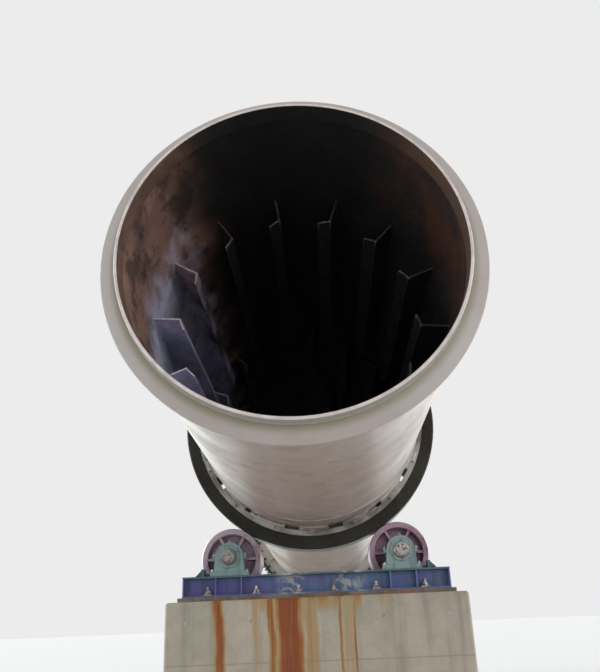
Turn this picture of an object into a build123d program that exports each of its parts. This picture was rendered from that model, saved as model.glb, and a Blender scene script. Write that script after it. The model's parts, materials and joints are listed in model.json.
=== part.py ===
"""Rotary drum dryer: a long steel drum that turns on two tyres and four support rollers, over two piers.

The drum is drawn with its axis along Y, through the middle of its length, with the open feed end
at the low Y end. Everything that belongs to the machine is then tipped by the drum's fall, so that
the feed end stands higher than the discharge end, and lifted to its height over the floor.
The piers stand upright on the floor. All lengths are in millimetres and all angles in degrees.
"""
import os
from math import asin, atan, cos, degrees, pi, radians, sin, sqrt, tan

from build123d import *

# Drum axis
axis_height = 3630.0        # above the floor, at the middle of the drum's length
fall = 0.025                # drop of the axis per unit of length, towards the discharge end

# Drum shell
drum_length = 18000.0
shell_inner_radius = 1184.0
shell_plate = 16.0
tyre_course_plate = 24.0    # thicker courses under the tyres
tyre_course_length = 1300.0
weld_gap = 0.3              # between pieces that are welded or bolted together
merge = 1.0                 # how far the parts of one solid run into each other

# End rings
mouth_step = 44.0           # how far the mouth stands in from the shell's inner face
lip_plate = 22.0
lip_length = 90.0
lip_edge = 4.0
end_flange_reach = 84.0     # beyond the shell's outer face
end_flange_plate = 36.0
end_flange_dish = 26.0      # how far the flange leans back from its root to its rim
end_flange_edge = 5.0

# Lifting flights
flight_count = 14
flight_bays = 6
flight_height = 222.0
flight_lip = 95.0
flight_lip_lean = 25.0
flight_plate = 12.0
flight_start = 1200.0       # from the mouth to the first bay
flight_turn = 17.5          # of a flight of the first bay past the bottom
flight_bay_gap = 60.0

# Tyres and their pads
tyre_from_mouth = 4160.0
tyre_depth = 190.0
tyre_width = 280.0
tyre_chamfer = 12.0
pad_height = 33.4
pad_count = 16
pad_arc = 15.0
pad_overhang = 85.0         # beyond each side of the tyre
seat_clearance = 0.3
retainer_height = 50.0      # of the retaining rings above the pads
retainer_plate = 36.0
retainer_segments = 8
retainer_edge = 4.0
wedge_arc = 5.0
wedge_length = 40.0
wedge_height = 36.0

# Support rollers
roller_angle = 31.0         # from the vertical through the drum's axis
roller_radius = 320.0
roller_width = 330.0
roller_rim = 58.0
roller_web = 70.0
roller_hub = 53.0           # wall of the hub
roller_chamfer = 8.0
roller_ribs = 6
rib_plate = 26.0
rib_inset = 14.0            # from the face of the rim to the ribs
tread_clearance = 0.3

# Roller shafts and bearings
shaft_radius = 80.0
shaft_shoulder = 12.0
shaft_end = 28.0            # beyond the bearing
running_clearance = 0.05
bearing_spacing = 320.0     # from the tyre's middle to the bearing's middle
bearing_width = 150.0
bearing_foot_length = 400.0
bearing_foot_height = 46.0
bearing_centre_height = 190.0
bearing_wall = 68.0         # from the shaft to the outside of the cap
bearing_bevel = 12.0
bearing_inset = 9.0         # of the housing from the faces of its boss
bearing_lug_reach = 28.0    # of the split's bolt lugs beyond the cap
bearing_lug_height = 40.0
bearing_eye = 18.0

# Base frames
beam_height = 205.0
beam_width = 220.0
beam_flange = 18.0
beam_web = 12.0
frame_end_margin = 277.0    # beyond the bearing feet, for the jacking screws
tie_width = 140.0
inner_tie_place = 430.0     # from the middle of the frame
stiffener_plate = 14.0
jack_gap = 62.0             # between a bearing's foot and its jacking bracket
jack_plate = 30.0
jack_height = 78.0
jack_width = 110.0
jack_screw_radius = 15.0
jack_screw_end = 44.0       # of the screw beyond its bracket
jack_nut_radius = 26.0
jack_nut_height = 20.0

# Thrust rollers, one on each side of the tyre nearer the discharge end
thrust_clearance = 6.0
thrust_radius = 166.0
thrust_height = 120.0
thrust_below_tyre = 62.0    # how far the roller reaches below the tyre
thrust_pin_radius = 40.0
thrust_base_radius = 98.0
thrust_base_plate = 30.0
thrust_shoulder = 18.0      # of the pot, above its base
thrust_pot_radius = 72.0

# Piers
pier_end_margin = 140.0     # beyond the frame
pier_side_margin = 152.0
pier_chamfer = 20.0
grout_least = 18.0          # under the low edge of a frame
grout_margin = 40.0         # beyond the frame all round

# Girth gear
gear_before_tyre = 1250.0   # from the discharge tyre's middle to the gear's middle
gear_module = 25.0
gear_reach = 300.0          # from the shell to the pitch circle, to the nearest whole teeth
gear_segments = 4
gear_width = 180.0
gear_rim = 42.0             # below the roots of the teeth
gear_flange_depth = 64.0
gear_flange_plate = 36.0
pressure_angle = 20.0
gear_dedendum = 1.25        # depth of a tooth below the pitch circle, in modules
gear_joint_plate = 34.0
gear_joint_depth = 52.0     # below the rim
gear_backlash = 0.8
carrier_plate = 30.0
carrier_inset = 3.0         # below the gear's rim
carrier_gussets = 12
gusset_plate = 14.0
gusset_length = 260.0
gusset_height = 150.0
gusset_snipe = 25.0         # corner cut off over the weld

# Pinion shaft, guard and drive train, on the right of the drum
pinion_teeth = 16
pinion_angle = 40.0         # from the vertical through the drum's axis
pinion_bearing_spacing = 250.0
pinion_shaft_radius = 60.0
pinion_hub_shoulder = 15.0
pinion_bearing_wall = 55.0
pinion_bearing_width = 120.0
pinion_bearing_foot = 330.0
pinion_bearing_height = 180.0
pinion_chair = 110.0        # stool between the drive frame and a pinion bearing
guard_plate = 8.0
guard_side_clearance = 26.0
guard_tip_clearance = 30.0
guard_rim_overlap = 21.0    # of the side sheets over the gear's rim
guard_half_width = 285.0
guard_top = 250.0           # above the pinion's axis
guard_corner = 55.0
guard_shaft_clearance = 10.0
guard_collar = 16.0         # round each of the shaft's holes
guard_foot = 22.0           # height of the guard's feet
coupling_space = 60.0       # from the pinion bearing to the coupling
coupling_radius = 150.0
coupling_hub_radius = 98.0
coupling_length = 180.0
coupling_disc = 38.0
coupling_gap = 8.0
coupling_edge = 4.0
coupling_pins = 8
coupling_pin_radius = 12.0
gearbox_space = 34.0        # from the coupling to the gearbox
gearbox_length = 560.0
gearbox_width = 440.0
gearbox_top = 205.0         # above the shaft's axis
gearbox_corner = 38.0
gearbox_split = 30.0        # thickness of the flange at the split
gearbox_foot = 60.0         # reach of the feet beyond the body
gearbox_rib = 18.0
gearbox_ribs = 3
gearbox_boss = 20.0         # round the shaft, beyond the body
gearbox_cover_width = 240.0
gearbox_cover_length = 320.0
motor_flange = 36.0
motor_length = 640.0
motor_radius = 172.0
motor_fins = 20
motor_fin_height = 28.0
motor_fin_plate = 6.0
motor_cowl = 150.0
motor_edge = 14.0
motor_inlet_radius = 128.0
motor_box_reach = 105.0     # of the terminal box beyond the fins
motor_box_width = 170.0
motor_box_length = 200.0
motor_foot_width = 280.0
motor_foot_length = 70.0
drive_beam = 180.0
drive_beam_flange = 85.0
drive_beam_plate = 14.0
drive_beam_spacing = 470.0  # over the outer faces
drive_top_plate = 24.0
drive_end_margin = 70.0
plinth_margin = 120.0

# Sizes that follow
fall_angle = degrees(atan(fall))
shell_radius = shell_inner_radius + shell_plate
tyre_course_radius = shell_inner_radius + tyre_course_plate
mouth_radius = shell_inner_radius - mouth_step
end_flange_radius = shell_radius + end_flange_reach
end_flange_place = lip_length + end_flange_dish + end_flange_plate
tyre_inner_radius = tyre_course_radius + pad_height + 2 * seat_clearance
tyre_outer_radius = tyre_inner_radius + tyre_depth
tyre_places = (tyre_from_mouth - drum_length / 2, drum_length / 2 - tyre_from_mouth)
shaft_hub_radius = shaft_radius + shaft_shoulder
roller_hub_radius = shaft_hub_radius + roller_hub
bearing_cap_radius = shaft_radius + bearing_wall
roller_distance = tyre_outer_radius + roller_radius + tread_clearance
roller_side = roller_distance * sin(radians(roller_angle))
roller_drop = roller_distance * cos(radians(roller_angle))
frame_top = -roller_drop - bearing_centre_height
frame_bottom = frame_top - beam_height
frame_half_length = roller_side + bearing_foot_length / 2 + frame_end_margin
frame_half_width = bearing_spacing + beam_width / 2
outer_tie_place = frame_half_length - tie_width / 2
tie_places = (-outer_tie_place, -inner_tie_place, inner_tie_place, outer_tie_place)
gear_place = tyre_places[1] - gear_before_tyre
gear_teeth = gear_segments * round(2 * (shell_radius + gear_reach) / gear_module / gear_segments)
gear_pitch_radius = gear_module * gear_teeth / 2
gear_tip_radius = gear_pitch_radius + gear_module
gear_root_radius = gear_pitch_radius - gear_dedendum * gear_module
gear_rim_radius = gear_root_radius - gear_rim
gear_bore = gear_rim_radius - gear_flange_depth
gear_low = gear_place - gear_width / 2
gear_high = gear_place + gear_width / 2
pinion_radius = gear_module * pinion_teeth / 2
pinion_distance = gear_pitch_radius + pinion_radius + gear_backlash
pinion_side = pinion_distance * sin(radians(pinion_angle))
pinion_drop = pinion_distance * cos(radians(pinion_angle))
drive_height = pinion_bearing_height + pinion_chair     # from the drive frame to the pinion's axis
drive_top = -pinion_drop - drive_height
drive_bottom = drive_top - drive_top_plate - drive_beam
coupling_place = gear_place - pinion_bearing_spacing - pinion_bearing_width / 2 - coupling_space
gearbox_place = coupling_place - coupling_length - gearbox_space
motor_place = gearbox_place - gearbox_length
drive_far = gear_place + pinion_bearing_spacing + pinion_bearing_width / 2 + drive_end_margin
drive_near = motor_place - motor_length + drive_end_margin
ENDS = ("front", "rear")
SIDES = (("left", -1), ("right", 1))
FLIGHT_GROUPS = ("feed", "middle", "discharge")


def tipped(shape):
    """Carry a shape from the drum's own frame to its sloping place over the floor."""
    return Pos(0, 0, axis_height) * Rot(-fall_angle, 0, 0) * shape


def ring(outline):
    """Turn a closed outline of (radius, y) points about the Y axis."""
    return revolve(make_face(Polyline(*[(r, y, 0) for r, y in outline], close=True)), Axis.Y)


def ring_piece(outline, arc, middle):
    """Turn a closed outline of (radius, y) points through an arc whose middle lies at an angle."""
    face = make_face(Polyline(*[(r, y, 0) for r, y in outline], close=True))
    return Rot(0, middle + arc / 2, 0) * revolve(face, Axis.Y, revolution_arc=-arc)


def upright_ring(outline):
    """Turn a closed outline of (radius, z) points about the Z axis."""
    return revolve(make_face(Polyline(*[(r, 0, z) for r, z in outline], close=True)), Axis.Z)


def block(r0, r1, y0, y1):
    """Closed outline of a plain rectangular section."""
    return [(r0, y0), (r1, y0), (r1, y1), (r0, y1)]


def mirrored(outline, place):
    """Closed outline of (radius, y) points turned over about a place along the drum."""
    return [(r, 2 * place - y) for r, y in outline]


def along_y(outline, y0, y1):
    """Closed outline of (x, z) points carried along Y."""
    face = make_face(Polyline(*[(x, y0, z) for x, z in outline], close=True))
    return extrude(face, amount=y1 - y0, dir=(0, 1, 0))


def along_x(outline, x0, x1):
    """Closed outline of (y, z) points carried along X."""
    face = make_face(Polyline(*[(x0, y, z) for y, z in outline], close=True))
    return extrude(face, amount=x1 - x0, dir=(1, 0, 0))


def rod_y(radius, y0, y1, x=0.0, z=0.0):
    """Round bar along Y between two places."""
    return Pos(x, (y0 + y1) / 2, z) * Rot(90, 0, 0) * Cylinder(radius, y1 - y0)


def span(x0, x1, y0, y1, z0, z1):
    """Box between two corners."""
    return Pos((x0 + x1) / 2, (y0 + y1) / 2, (z0 + z1) / 2) * Box(x1 - x0, y1 - y0, z1 - z0)


def save(name, shape):
    """Write one node."""
    shape.label = name
    export_step(shape, f"parts/{name}.step")


def shell_sections():
    """Rolled courses of the drum, with thicker ones under the tyres."""
    end = drum_length / 2 - end_flange_place
    half_course = tyre_course_length / 2
    edges = [-end, tyre_places[0] - half_course, tyre_places[0] + half_course, 0,
             tyre_places[1] - half_course, tyre_places[1] + half_course, end]
    names = ["feed_shell", "front_tyre_course", "front_middle_shell",
             "rear_middle_shell", "rear_tyre_course", "discharge_shell"]
    for name, low, high in zip(names, edges, edges[1:]):
        radius = tyre_course_radius if "tyre" in name else shell_radius
        gap = weld_gap / 2
        yield name, ring(block(shell_inner_radius, radius, low + gap, high - gap))


def end_ring():
    """Lip tube and dished flange that close on the shell, at the low Y end."""
    mouth = -drum_length / 2
    root = mouth + lip_length
    rim = root + end_flange_dish
    back = rim + end_flange_plate
    lip = mouth_radius + lip_plate
    e = lip_edge
    f = end_flange_edge
    return ring([(mouth_radius, mouth + e), (mouth_radius + e, mouth), (lip - e, mouth), (lip, mouth + e),
                 (lip, root), (end_flange_radius - f, rim), (end_flange_radius, rim + f),
                 (end_flange_radius, back - f), (end_flange_radius - f, back), (mouth_radius, back)])


def flight_outline():
    """Section of one lifting flight that stands inwards from the bottom of the shell."""
    foot = -shell_inner_radius + weld_gap
    tip = foot + flight_height
    half = flight_plate / 2
    lean = radians(flight_lip_lean)
    reach_x = flight_lip * cos(lean)
    reach_z = flight_lip * sin(lean)
    across = flight_plate / cos(lean)
    return [(-half, foot), (half, foot), (half, tip - across),
            (half + reach_x, tip - across + reach_z), (half + reach_x, tip + reach_z),
            (half, tip), (-half, tip)]


def flight_bay(number):
    """One bay of flights round the shell, set half a pitch on from the bay before."""
    run = drum_length - 2 * flight_start + flight_bay_gap
    pitch = run / flight_bays
    low = -drum_length / 2 + flight_start + number * pitch
    flight = along_y(flight_outline(), low, low + pitch - flight_bay_gap)
    step = 360 / flight_count
    turn = flight_turn + (step / 2 if number % 2 else 0)
    return [Rot(0, turn + step * i, 0) * flight for i in range(flight_count)]


def flights(group):
    """Bays of flights that share one node."""
    bays = flight_bays // len(FLIGHT_GROUPS)
    numbers = range(group * bays, (group + 1) * bays)
    return Compound(children=[flight for number in numbers for flight in flight_bay(number)])


def tyre(place):
    """Forged riding ring with broken edges."""
    half = tyre_width / 2
    c = tyre_chamfer
    return ring([(tyre_inner_radius, place - half + c), (tyre_inner_radius + c, place - half),
                 (tyre_outer_radius - c, place - half), (tyre_outer_radius, place - half + c),
                 (tyre_outer_radius, place + half - c), (tyre_outer_radius - c, place + half),
                 (tyre_inner_radius + c, place + half), (tyre_inner_radius, place + half - c)])


def retainer_outline(inner, face):
    """Section of a retaining ring in front of the tyre, with broken edges on its far side."""
    outer = inner + retainer_height
    back = face - retainer_plate
    e = retainer_edge
    return [(inner, back), (outer - e, back), (outer, back + e), (outer, face), (inner, face)]


def wedge_outline(inner, face):
    """Section of a wedge that stands on a pad and holds a retaining ring from in front."""
    toe = face - wedge_length
    c = wedge_height / 3
    return [(inner, toe), (inner + wedge_height - 2 * c, toe), (inner + wedge_height, toe + 2 * c),
            (inner + wedge_height, face), (inner, face)]


def tyre_pads(place):
    """Filler bars under the tyre, with a segmented ring and wedges that hold it on each side."""
    reach = tyre_width / 2 + pad_overhang
    low = tyre_course_radius + seat_clearance
    high = low + pad_height
    pad = block(low, high, place - reach, place + reach)
    inner = high + weld_gap
    face = place - tyre_width / 2 - seat_clearance
    retainer = retainer_outline(inner, face)
    wedge = wedge_outline(inner, face - retainer_plate - weld_gap)
    step = 360 / pad_count
    arc = 360 / retainer_segments
    joint = degrees(asin(weld_gap / 2 / inner))
    pieces = []
    for i in range(pad_count):
        pieces.append(ring_piece(pad, pad_arc, step * i))
        for outline in (wedge, mirrored(wedge, place)):
            pieces.append(ring_piece(outline, wedge_arc, step * i))
    for i in range(retainer_segments):
        for outline in (retainer, mirrored(retainer, place)):
            pieces.append(ring_piece(outline, arc - 2 * joint, arc * (i + 0.5)))
    return Compound(children=pieces)


def roller_wheel(place):
    """Cast roller with a rim, a ribbed web and a hub, about its own axis."""
    half = roller_width / 2
    c = roller_chamfer
    rim = roller_radius - roller_rim
    bore = shaft_hub_radius + weld_gap
    web = roller_web / 2
    fillet_leg = rib_inset
    wheel = ring([(bore, place - half), (roller_hub_radius, place - half),
                  (roller_hub_radius + fillet_leg, place - web), (rim - fillet_leg, place - web),
                  (rim, place - half), (roller_radius - c, place - half),
                  (roller_radius, place - half + c), (roller_radius, place + half - c),
                  (roller_radius - c, place + half), (rim, place + half),
                  (rim - fillet_leg, place + web), (roller_hub_radius + fillet_leg, place + web),
                  (roller_hub_radius, place + half), (bore, place + half)])
    middle = (roller_hub_radius + rim) / 2
    length = rim - roller_hub_radius + fillet_leg
    rib = Pos(middle, place, 0) * Box(length, roller_width - 2 * rib_inset, rib_plate)
    for i in range(roller_ribs):
        wheel += Rot(0, 360 / roller_ribs * i, 0) * rib
    return wheel


def roller_shaft(place):
    """Stepped shaft through the roller and both bearings, about its own axis."""
    end = bearing_spacing + bearing_width / 2 + shaft_end
    step = bearing_spacing - bearing_width / 2 - shaft_shoulder
    c = shaft_shoulder / 2
    return ring([(0, place - end), (shaft_radius - c, place - end), (shaft_radius, place - end + c),
                 (shaft_radius, place - step), (shaft_hub_radius, place - step),
                 (shaft_hub_radius, place + step), (shaft_radius, place + step),
                 (shaft_radius, place + end - c), (shaft_radius - c, place + end), (0, place + end)])


def pillow_block(place, bore, wall, width, foot_length, centre_height):
    """Split pillow block about its shaft's axis, with its foot below."""
    cap_radius = bore + wall
    foot_top = bearing_foot_height - centre_height
    half_foot = foot_length / 2
    bevel = bearing_bevel
    inset = bearing_inset
    y0, y1 = place - width / 2, place + width / 2
    foot = along_y([(-half_foot, -centre_height), (half_foot, -centre_height),
                    (half_foot, foot_top - bevel), (half_foot - bevel, foot_top),
                    (-half_foot + bevel, foot_top), (-half_foot, foot_top - bevel)], y0, y1)
    shoulder = cap_radius + bevel
    body = along_y([(-shoulder, foot_top - bevel), (shoulder, foot_top - bevel),
                    (cap_radius, 0), (-cap_radius, 0)], y0 + inset, y1 - inset)
    cap = rod_y(cap_radius, y0 + inset, y1 - inset)
    lugs = span(-cap_radius - bearing_lug_reach, cap_radius + bearing_lug_reach,
                place - width / 4, place + width / 4, -bearing_lug_height / 2, bearing_lug_height / 2)
    boss = rod_y(bore + wall / 2, y0, y1)
    eye = rod_y(bearing_eye, place - bevel, place + bevel, z=cap_radius + bevel)
    hole = rod_y(bore + running_clearance, y0 - merge, y1 + merge)
    return foot + body + cap + lugs + boss + eye - hole


def roller_bearings(place):
    """The two pillow blocks of one roller."""
    return Compound(children=[
        pillow_block(place + side * bearing_spacing, shaft_radius, bearing_wall, bearing_width,
                     bearing_foot_length, bearing_centre_height) for side in (-1, 1)])


def i_section(middle):
    """Closed (y, z) outline of a wide-flanged beam whose top lies at the frame's top."""
    b, w, t = beam_width / 2, beam_web / 2, beam_flange
    top, low = frame_top, frame_bottom
    return [(middle - b, low), (middle + b, low), (middle + b, low + t), (middle + w, low + t),
            (middle + w, top - t), (middle + b, top - t), (middle + b, top), (middle - b, top),
            (middle - b, top - t), (middle - w, top - t), (middle - w, low + t), (middle - b, low + t)]


def jacking_bracket(side, middle):
    """Bracket on a beam with the screw that sets a bearing sideways."""
    foot_end = roller_side + bearing_foot_length / 2
    near = foot_end + jack_gap
    y0, y1 = middle - jack_width / 2, middle + jack_width / 2
    plate = span(near, near + jack_plate, y0, y1, frame_top, frame_top + jack_height)
    brace = along_y([(near + jack_plate, frame_top), (near + jack_plate + jack_height, frame_top),
                     (near + jack_plate, frame_top + jack_height)],
                    middle - stiffener_plate / 2, middle + stiffener_plate / 2)
    screw_height = frame_top + bearing_foot_height / 2
    reach = near + jack_plate + jack_screw_end
    start = foot_end + seat_clearance
    screw = Pos((start + reach) / 2, middle, screw_height) * Rot(0, 90, 0) * Cylinder(
        jack_screw_radius, reach - start)
    hexagon = extrude(RegularPolygon(jack_nut_radius, 6), amount=jack_nut_height)
    nut = Pos(near + jack_plate, middle, screw_height) * Rot(0, 90, 0) * hexagon
    bracket = plate + brace + screw + nut
    return bracket if side > 0 else mirror(bracket, Plane.YZ)


def base_frame(place):
    """Two cross beams with ties, stiffeners and jacking brackets, clear of the rollers."""
    t = beam_flange
    stiffeners = [side * x for side in (-1, 1)
                  for x in (roller_side - bearing_foot_length / 3, roller_side + bearing_foot_length / 3,
                            frame_half_length - stiffener_plate / 2)]
    frame = None
    for middle in (place - bearing_spacing, place + bearing_spacing):
        beam = along_x(i_section(middle), -frame_half_length, frame_half_length)
        for x in stiffeners:
            beam += Pos(x, middle, (frame_top + frame_bottom) / 2) * Box(
                stiffener_plate, beam_width - t, beam_height - t)
        for _, side in SIDES:
            beam += jacking_bracket(side, middle)
        frame = beam if frame is None else frame + beam
    inner = bearing_spacing - beam_web / 2
    for x in tie_places:
        upper = span(x - tie_width / 2, x + tie_width / 2, place - inner, place + inner,
                     frame_top - 2 * t, frame_top - t)
        lower = span(x - tie_width / 2, x + tie_width / 2, place - inner, place + inner,
                     frame_bottom + t, frame_bottom + 2 * t)
        web = span(x - beam_web / 2, x + beam_web / 2, place - inner, place + inner,
                   frame_bottom + t, frame_top - t)
        frame += upper + lower + web
    return frame


def thrust_places():
    """Places along the drum of the two thrust rollers' upright axes."""
    reach = tyre_width / 2 + thrust_clearance + thrust_radius
    return tyre_places[1] - reach, tyre_places[1] + reach


def thrust_rollers():
    """Two rollers on upright axes, low on both sides of the discharge tyre."""
    low = -tyre_outer_radius - thrust_below_tyre
    high = low + thrust_height
    c = tyre_chamfer
    pin = thrust_pin_radius + running_clearance
    outline = [(pin, low), (thrust_radius - c, low), (thrust_radius, low + c),
               (thrust_radius, high - c), (thrust_radius - c, high), (pin, high)]
    wheel = upright_ring(outline)
    return Compound(children=[Pos(0, y, 0) * wheel for y in thrust_places()])


def thrust_housings():
    """Pots on the base frame that carry the thrust rollers' pins."""
    foot = frame_top
    seat = -tyre_outer_radius - thrust_below_tyre - 2 * seat_clearance
    top = seat + thrust_height + thrust_pin_radius
    base = foot + thrust_base_plate
    pot = upright_ring([(0, foot), (thrust_base_radius, foot), (thrust_base_radius, base),
                        (thrust_pot_radius, base + thrust_shoulder), (thrust_pot_radius, seat),
                        (thrust_pin_radius, seat), (thrust_pin_radius, top), (0, top)])
    return Compound(children=[Pos(0, y, 0) * pot for y in thrust_places()])


def floor_height(y, drop):
    """Height over the floor of a tipped level at a drop from the axis, at a place along the floor."""
    return axis_height + drop / cos(radians(fall_angle)) - y * tan(radians(fall_angle))


def along_floor(place, drop):
    """Place along the floor of a point at a place along the drum and a drop from its axis."""
    a = radians(fall_angle)
    return place * cos(a) + drop * sin(a)


def footing(x0, x1, y0, y1, drop, side_margin, end_margin, abutment=None):
    """Grout wedge under a tipped frame and the pier below it, which may run on to an abutment."""
    far = along_floor(y1, drop) + grout_margin
    near = along_floor(y0, drop) - grout_margin
    top = floor_height(far, drop) - grout_least
    slope = [(near, top), (far, top), (far, floor_height(far, drop)), (near, floor_height(near, drop))]
    wedge = along_x(slope, x0 - grout_margin, x1 + grout_margin)
    end = far - grout_margin + side_margin if abutment is None else abutment
    body = span(x0 - end_margin, x1 + end_margin, near + grout_margin - side_margin, end, 0, top)
    edges = body.edges().filter_by(Axis.Z) + body.edges().group_by(Axis.Z)[-1]
    return wedge, chamfer(edges, pier_chamfer)


def tooth_outline(first, count):
    """Points (x, z) of a run of gear teeth, as straight flanks at the pressure angle."""
    lean = gear_module * tan(radians(pressure_angle))
    half_pitch = pi * gear_module / 4 - gear_backlash / 2
    half_tip = degrees((half_pitch - lean) / gear_tip_radius)
    half_root = degrees((half_pitch + gear_dedendum * lean) / gear_root_radius)
    step = 360 / gear_teeth
    points = []
    for i in range(first, first + count):
        middle = (i + 0.5) * step
        for radius, turn in ((gear_root_radius, -half_root), (gear_tip_radius, -half_tip),
                             (gear_tip_radius, half_tip), (gear_root_radius, half_root)):
            a = radians(middle + turn)
            points.append((radius * cos(a), radius * sin(a)))
    return points


def on_circle(radius, angle, y):
    """Point on a circle about the drum's axis."""
    return (radius * cos(radians(angle)), y, radius * sin(radians(angle)))


def gear_segment(number):
    """One segment of the girth gear, with its bolting flange and its joint plates."""
    count = gear_teeth // gear_segments
    arc = 360 / gear_segments
    start = number * arc
    trim = degrees(asin(weld_gap / 2 / gear_rim_radius))
    a, b = start + trim, start + arc - trim
    y = gear_place - gear_width / 2
    teeth = [(x, y, z) for x, z in tooth_outline(number * count, count)]
    rim = (ThreePointArc(on_circle(gear_rim_radius, b, y), on_circle(gear_rim_radius, (a + b) / 2, y),
                         on_circle(gear_rim_radius, a, y)))
    path = Polyline(on_circle(gear_rim_radius, a, y), on_circle(gear_root_radius, a, y), *teeth,
                    on_circle(gear_root_radius, b, y), on_circle(gear_rim_radius, b, y)) + rim
    segment = extrude(make_face(path), amount=gear_width, dir=(0, 1, 0))
    flange = block(gear_bore, gear_rim_radius + weld_gap, gear_place, gear_place + gear_flange_plate)
    segment += ring_piece(flange, arc - 2 * trim, -(a + b) / 2)
    for angle, side in ((a, 1), (b, -1)):
        plate = span(gear_rim_radius - gear_joint_depth, gear_rim_radius + weld_gap,
                     gear_place + gear_flange_plate, gear_place + gear_width / 2,
                     min(0, side * gear_joint_plate), max(0, side * gear_joint_plate))
        segment += Rot(0, -angle, 0) * plate
    return segment


def girth_gear():
    """Toothed ring in bolted segments round the drum."""
    return Compound(children=[gear_segment(i) for i in range(gear_segments)])


def gear_carrier():
    """Flange ring on the shell, with gussets, that the girth gear is bolted to."""
    face = gear_place - seat_clearance
    bore = shell_radius + weld_gap
    back = face - carrier_plate
    carrier = ring(block(bore, gear_rim_radius - carrier_inset, back, face))
    toe = back - gusset_length
    gusset = along_x([(back + merge, bore + gusset_snipe), (back + merge, bore + gusset_height),
                      (back - gusset_plate, bore + gusset_height), (toe, bore + gusset_plate), (toe, bore),
                      (back - gusset_snipe, bore), (back, bore + gusset_snipe)],
                     -gusset_plate / 2, gusset_plate / 2)
    for i in range(carrier_gussets):
        carrier += Rot(0, 360 / carrier_gussets * i, 0) * gusset
    return carrier


def guard_outline(inset):
    """Closed (x, z) outline of the guard round the pinion, drawn in by a plate's thickness."""
    low = drive_top + guard_foot + inset
    high = -pinion_drop + guard_top - inset
    left = pinion_side - guard_half_width + inset
    right = pinion_side + guard_half_width - inset
    c = guard_corner - inset * (2 - sqrt(2))    # keeps the wall's thickness across the corners
    return [(left + c, low), (right - c, low), (right, low + c), (right, high - c),
            (right - c, high), (left, high), (left, low + c)]


def gear_guard():
    """Sheet guard round the pinion and the mesh, open where the gear passes through."""
    y0 = gear_low - guard_side_clearance
    y1 = gear_high + guard_side_clearance
    p = guard_plate
    guard = along_y(guard_outline(0), y0 - p, y1 + p) - along_y(guard_outline(p), y0, y1)
    guard -= rod_y(gear_tip_radius + guard_tip_clearance, y0, y1)
    guard -= rod_y(gear_rim_radius + guard_rim_overlap, y0 - 2 * p, y1 + 2 * p)
    reach = pinion_shaft_radius + pinion_hub_shoulder + guard_shaft_clearance
    for face in (y0 - 2 * p, y1):
        guard += rod_y(reach + guard_collar, face, face + 2 * p, pinion_side, -pinion_drop)
    guard -= rod_y(reach, y0 - 3 * p, y1 + 3 * p, pinion_side, -pinion_drop)
    for side in (-1, 1):
        middle = pinion_side + side * (drive_beam_spacing - drive_beam_flange) / 2
        for face in (y0 - p, y1 + p - guard_foot):
            guard += span(middle - guard_foot, middle + guard_foot, face, face + guard_foot,
                          drive_top + seat_clearance, drive_top + guard_foot + merge)
    return guard


def pinion_shaft():
    """Shaft through both pinion bearings, from past the far bearing to the coupling."""
    far = gear_place + pinion_bearing_spacing + pinion_bearing_width / 2 + shaft_end
    end = coupling_place - coupling_length / 2 + coupling_gap / 2
    step = pinion_bearing_spacing - pinion_bearing_width / 2 - pinion_hub_shoulder
    r = pinion_shaft_radius
    hub = r + pinion_hub_shoulder
    c = shaft_shoulder / 2
    shaft = ring([(0, end), (r, end), (r, gear_place - step), (hub, gear_place - step),
                  (hub, gear_place + step), (r, gear_place + step), (r, far - c), (r - c, far), (0, far)])
    return Pos(pinion_side, 0, -pinion_drop) * shaft


def pinion_bearings():
    """The two pillow blocks of the pinion shaft."""
    return Compound(children=[Pos(pinion_side, 0, -pinion_drop) * pillow_block(
        gear_place + side * pinion_bearing_spacing, pinion_shaft_radius, pinion_bearing_wall,
        pinion_bearing_width, pinion_bearing_foot, pinion_bearing_height) for side in (-1, 1)])


def coupling_half(face, back):
    """Hub and disc of a coupling half, from its inner face to its back, about the shaft's axis."""
    way = 1 if back > face else -1
    disc = face + way * coupling_disc
    bore = pinion_shaft_radius + weld_gap
    rim = coupling_radius - coupling_edge
    e = way * coupling_edge
    return ring([(bore, face), (rim, face), (coupling_radius, face + e), (coupling_radius, disc - e),
                 (rim, disc), (coupling_hub_radius, disc), (coupling_hub_radius, back), (bore, back)])


def drive_coupling():
    """Two bolted coupling halves with a gap between them that pins cross."""
    middle = coupling_place - coupling_length / 2
    near = coupling_half(middle - coupling_gap / 2, coupling_place - coupling_length)
    far = coupling_half(middle + coupling_gap / 2, coupling_place)
    circle = (coupling_radius + coupling_hub_radius) / 2
    start = middle - coupling_gap / 2 + seat_clearance
    pin = rod_y(coupling_pin_radius, start, start + coupling_gap, x=circle)
    for i in range(coupling_pins):
        far += Rot(0, 360 / coupling_pins * i, 0) * pin
    return Pos(pinion_side, 0, -pinion_drop) * Compound(children=[near, far])


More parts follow.
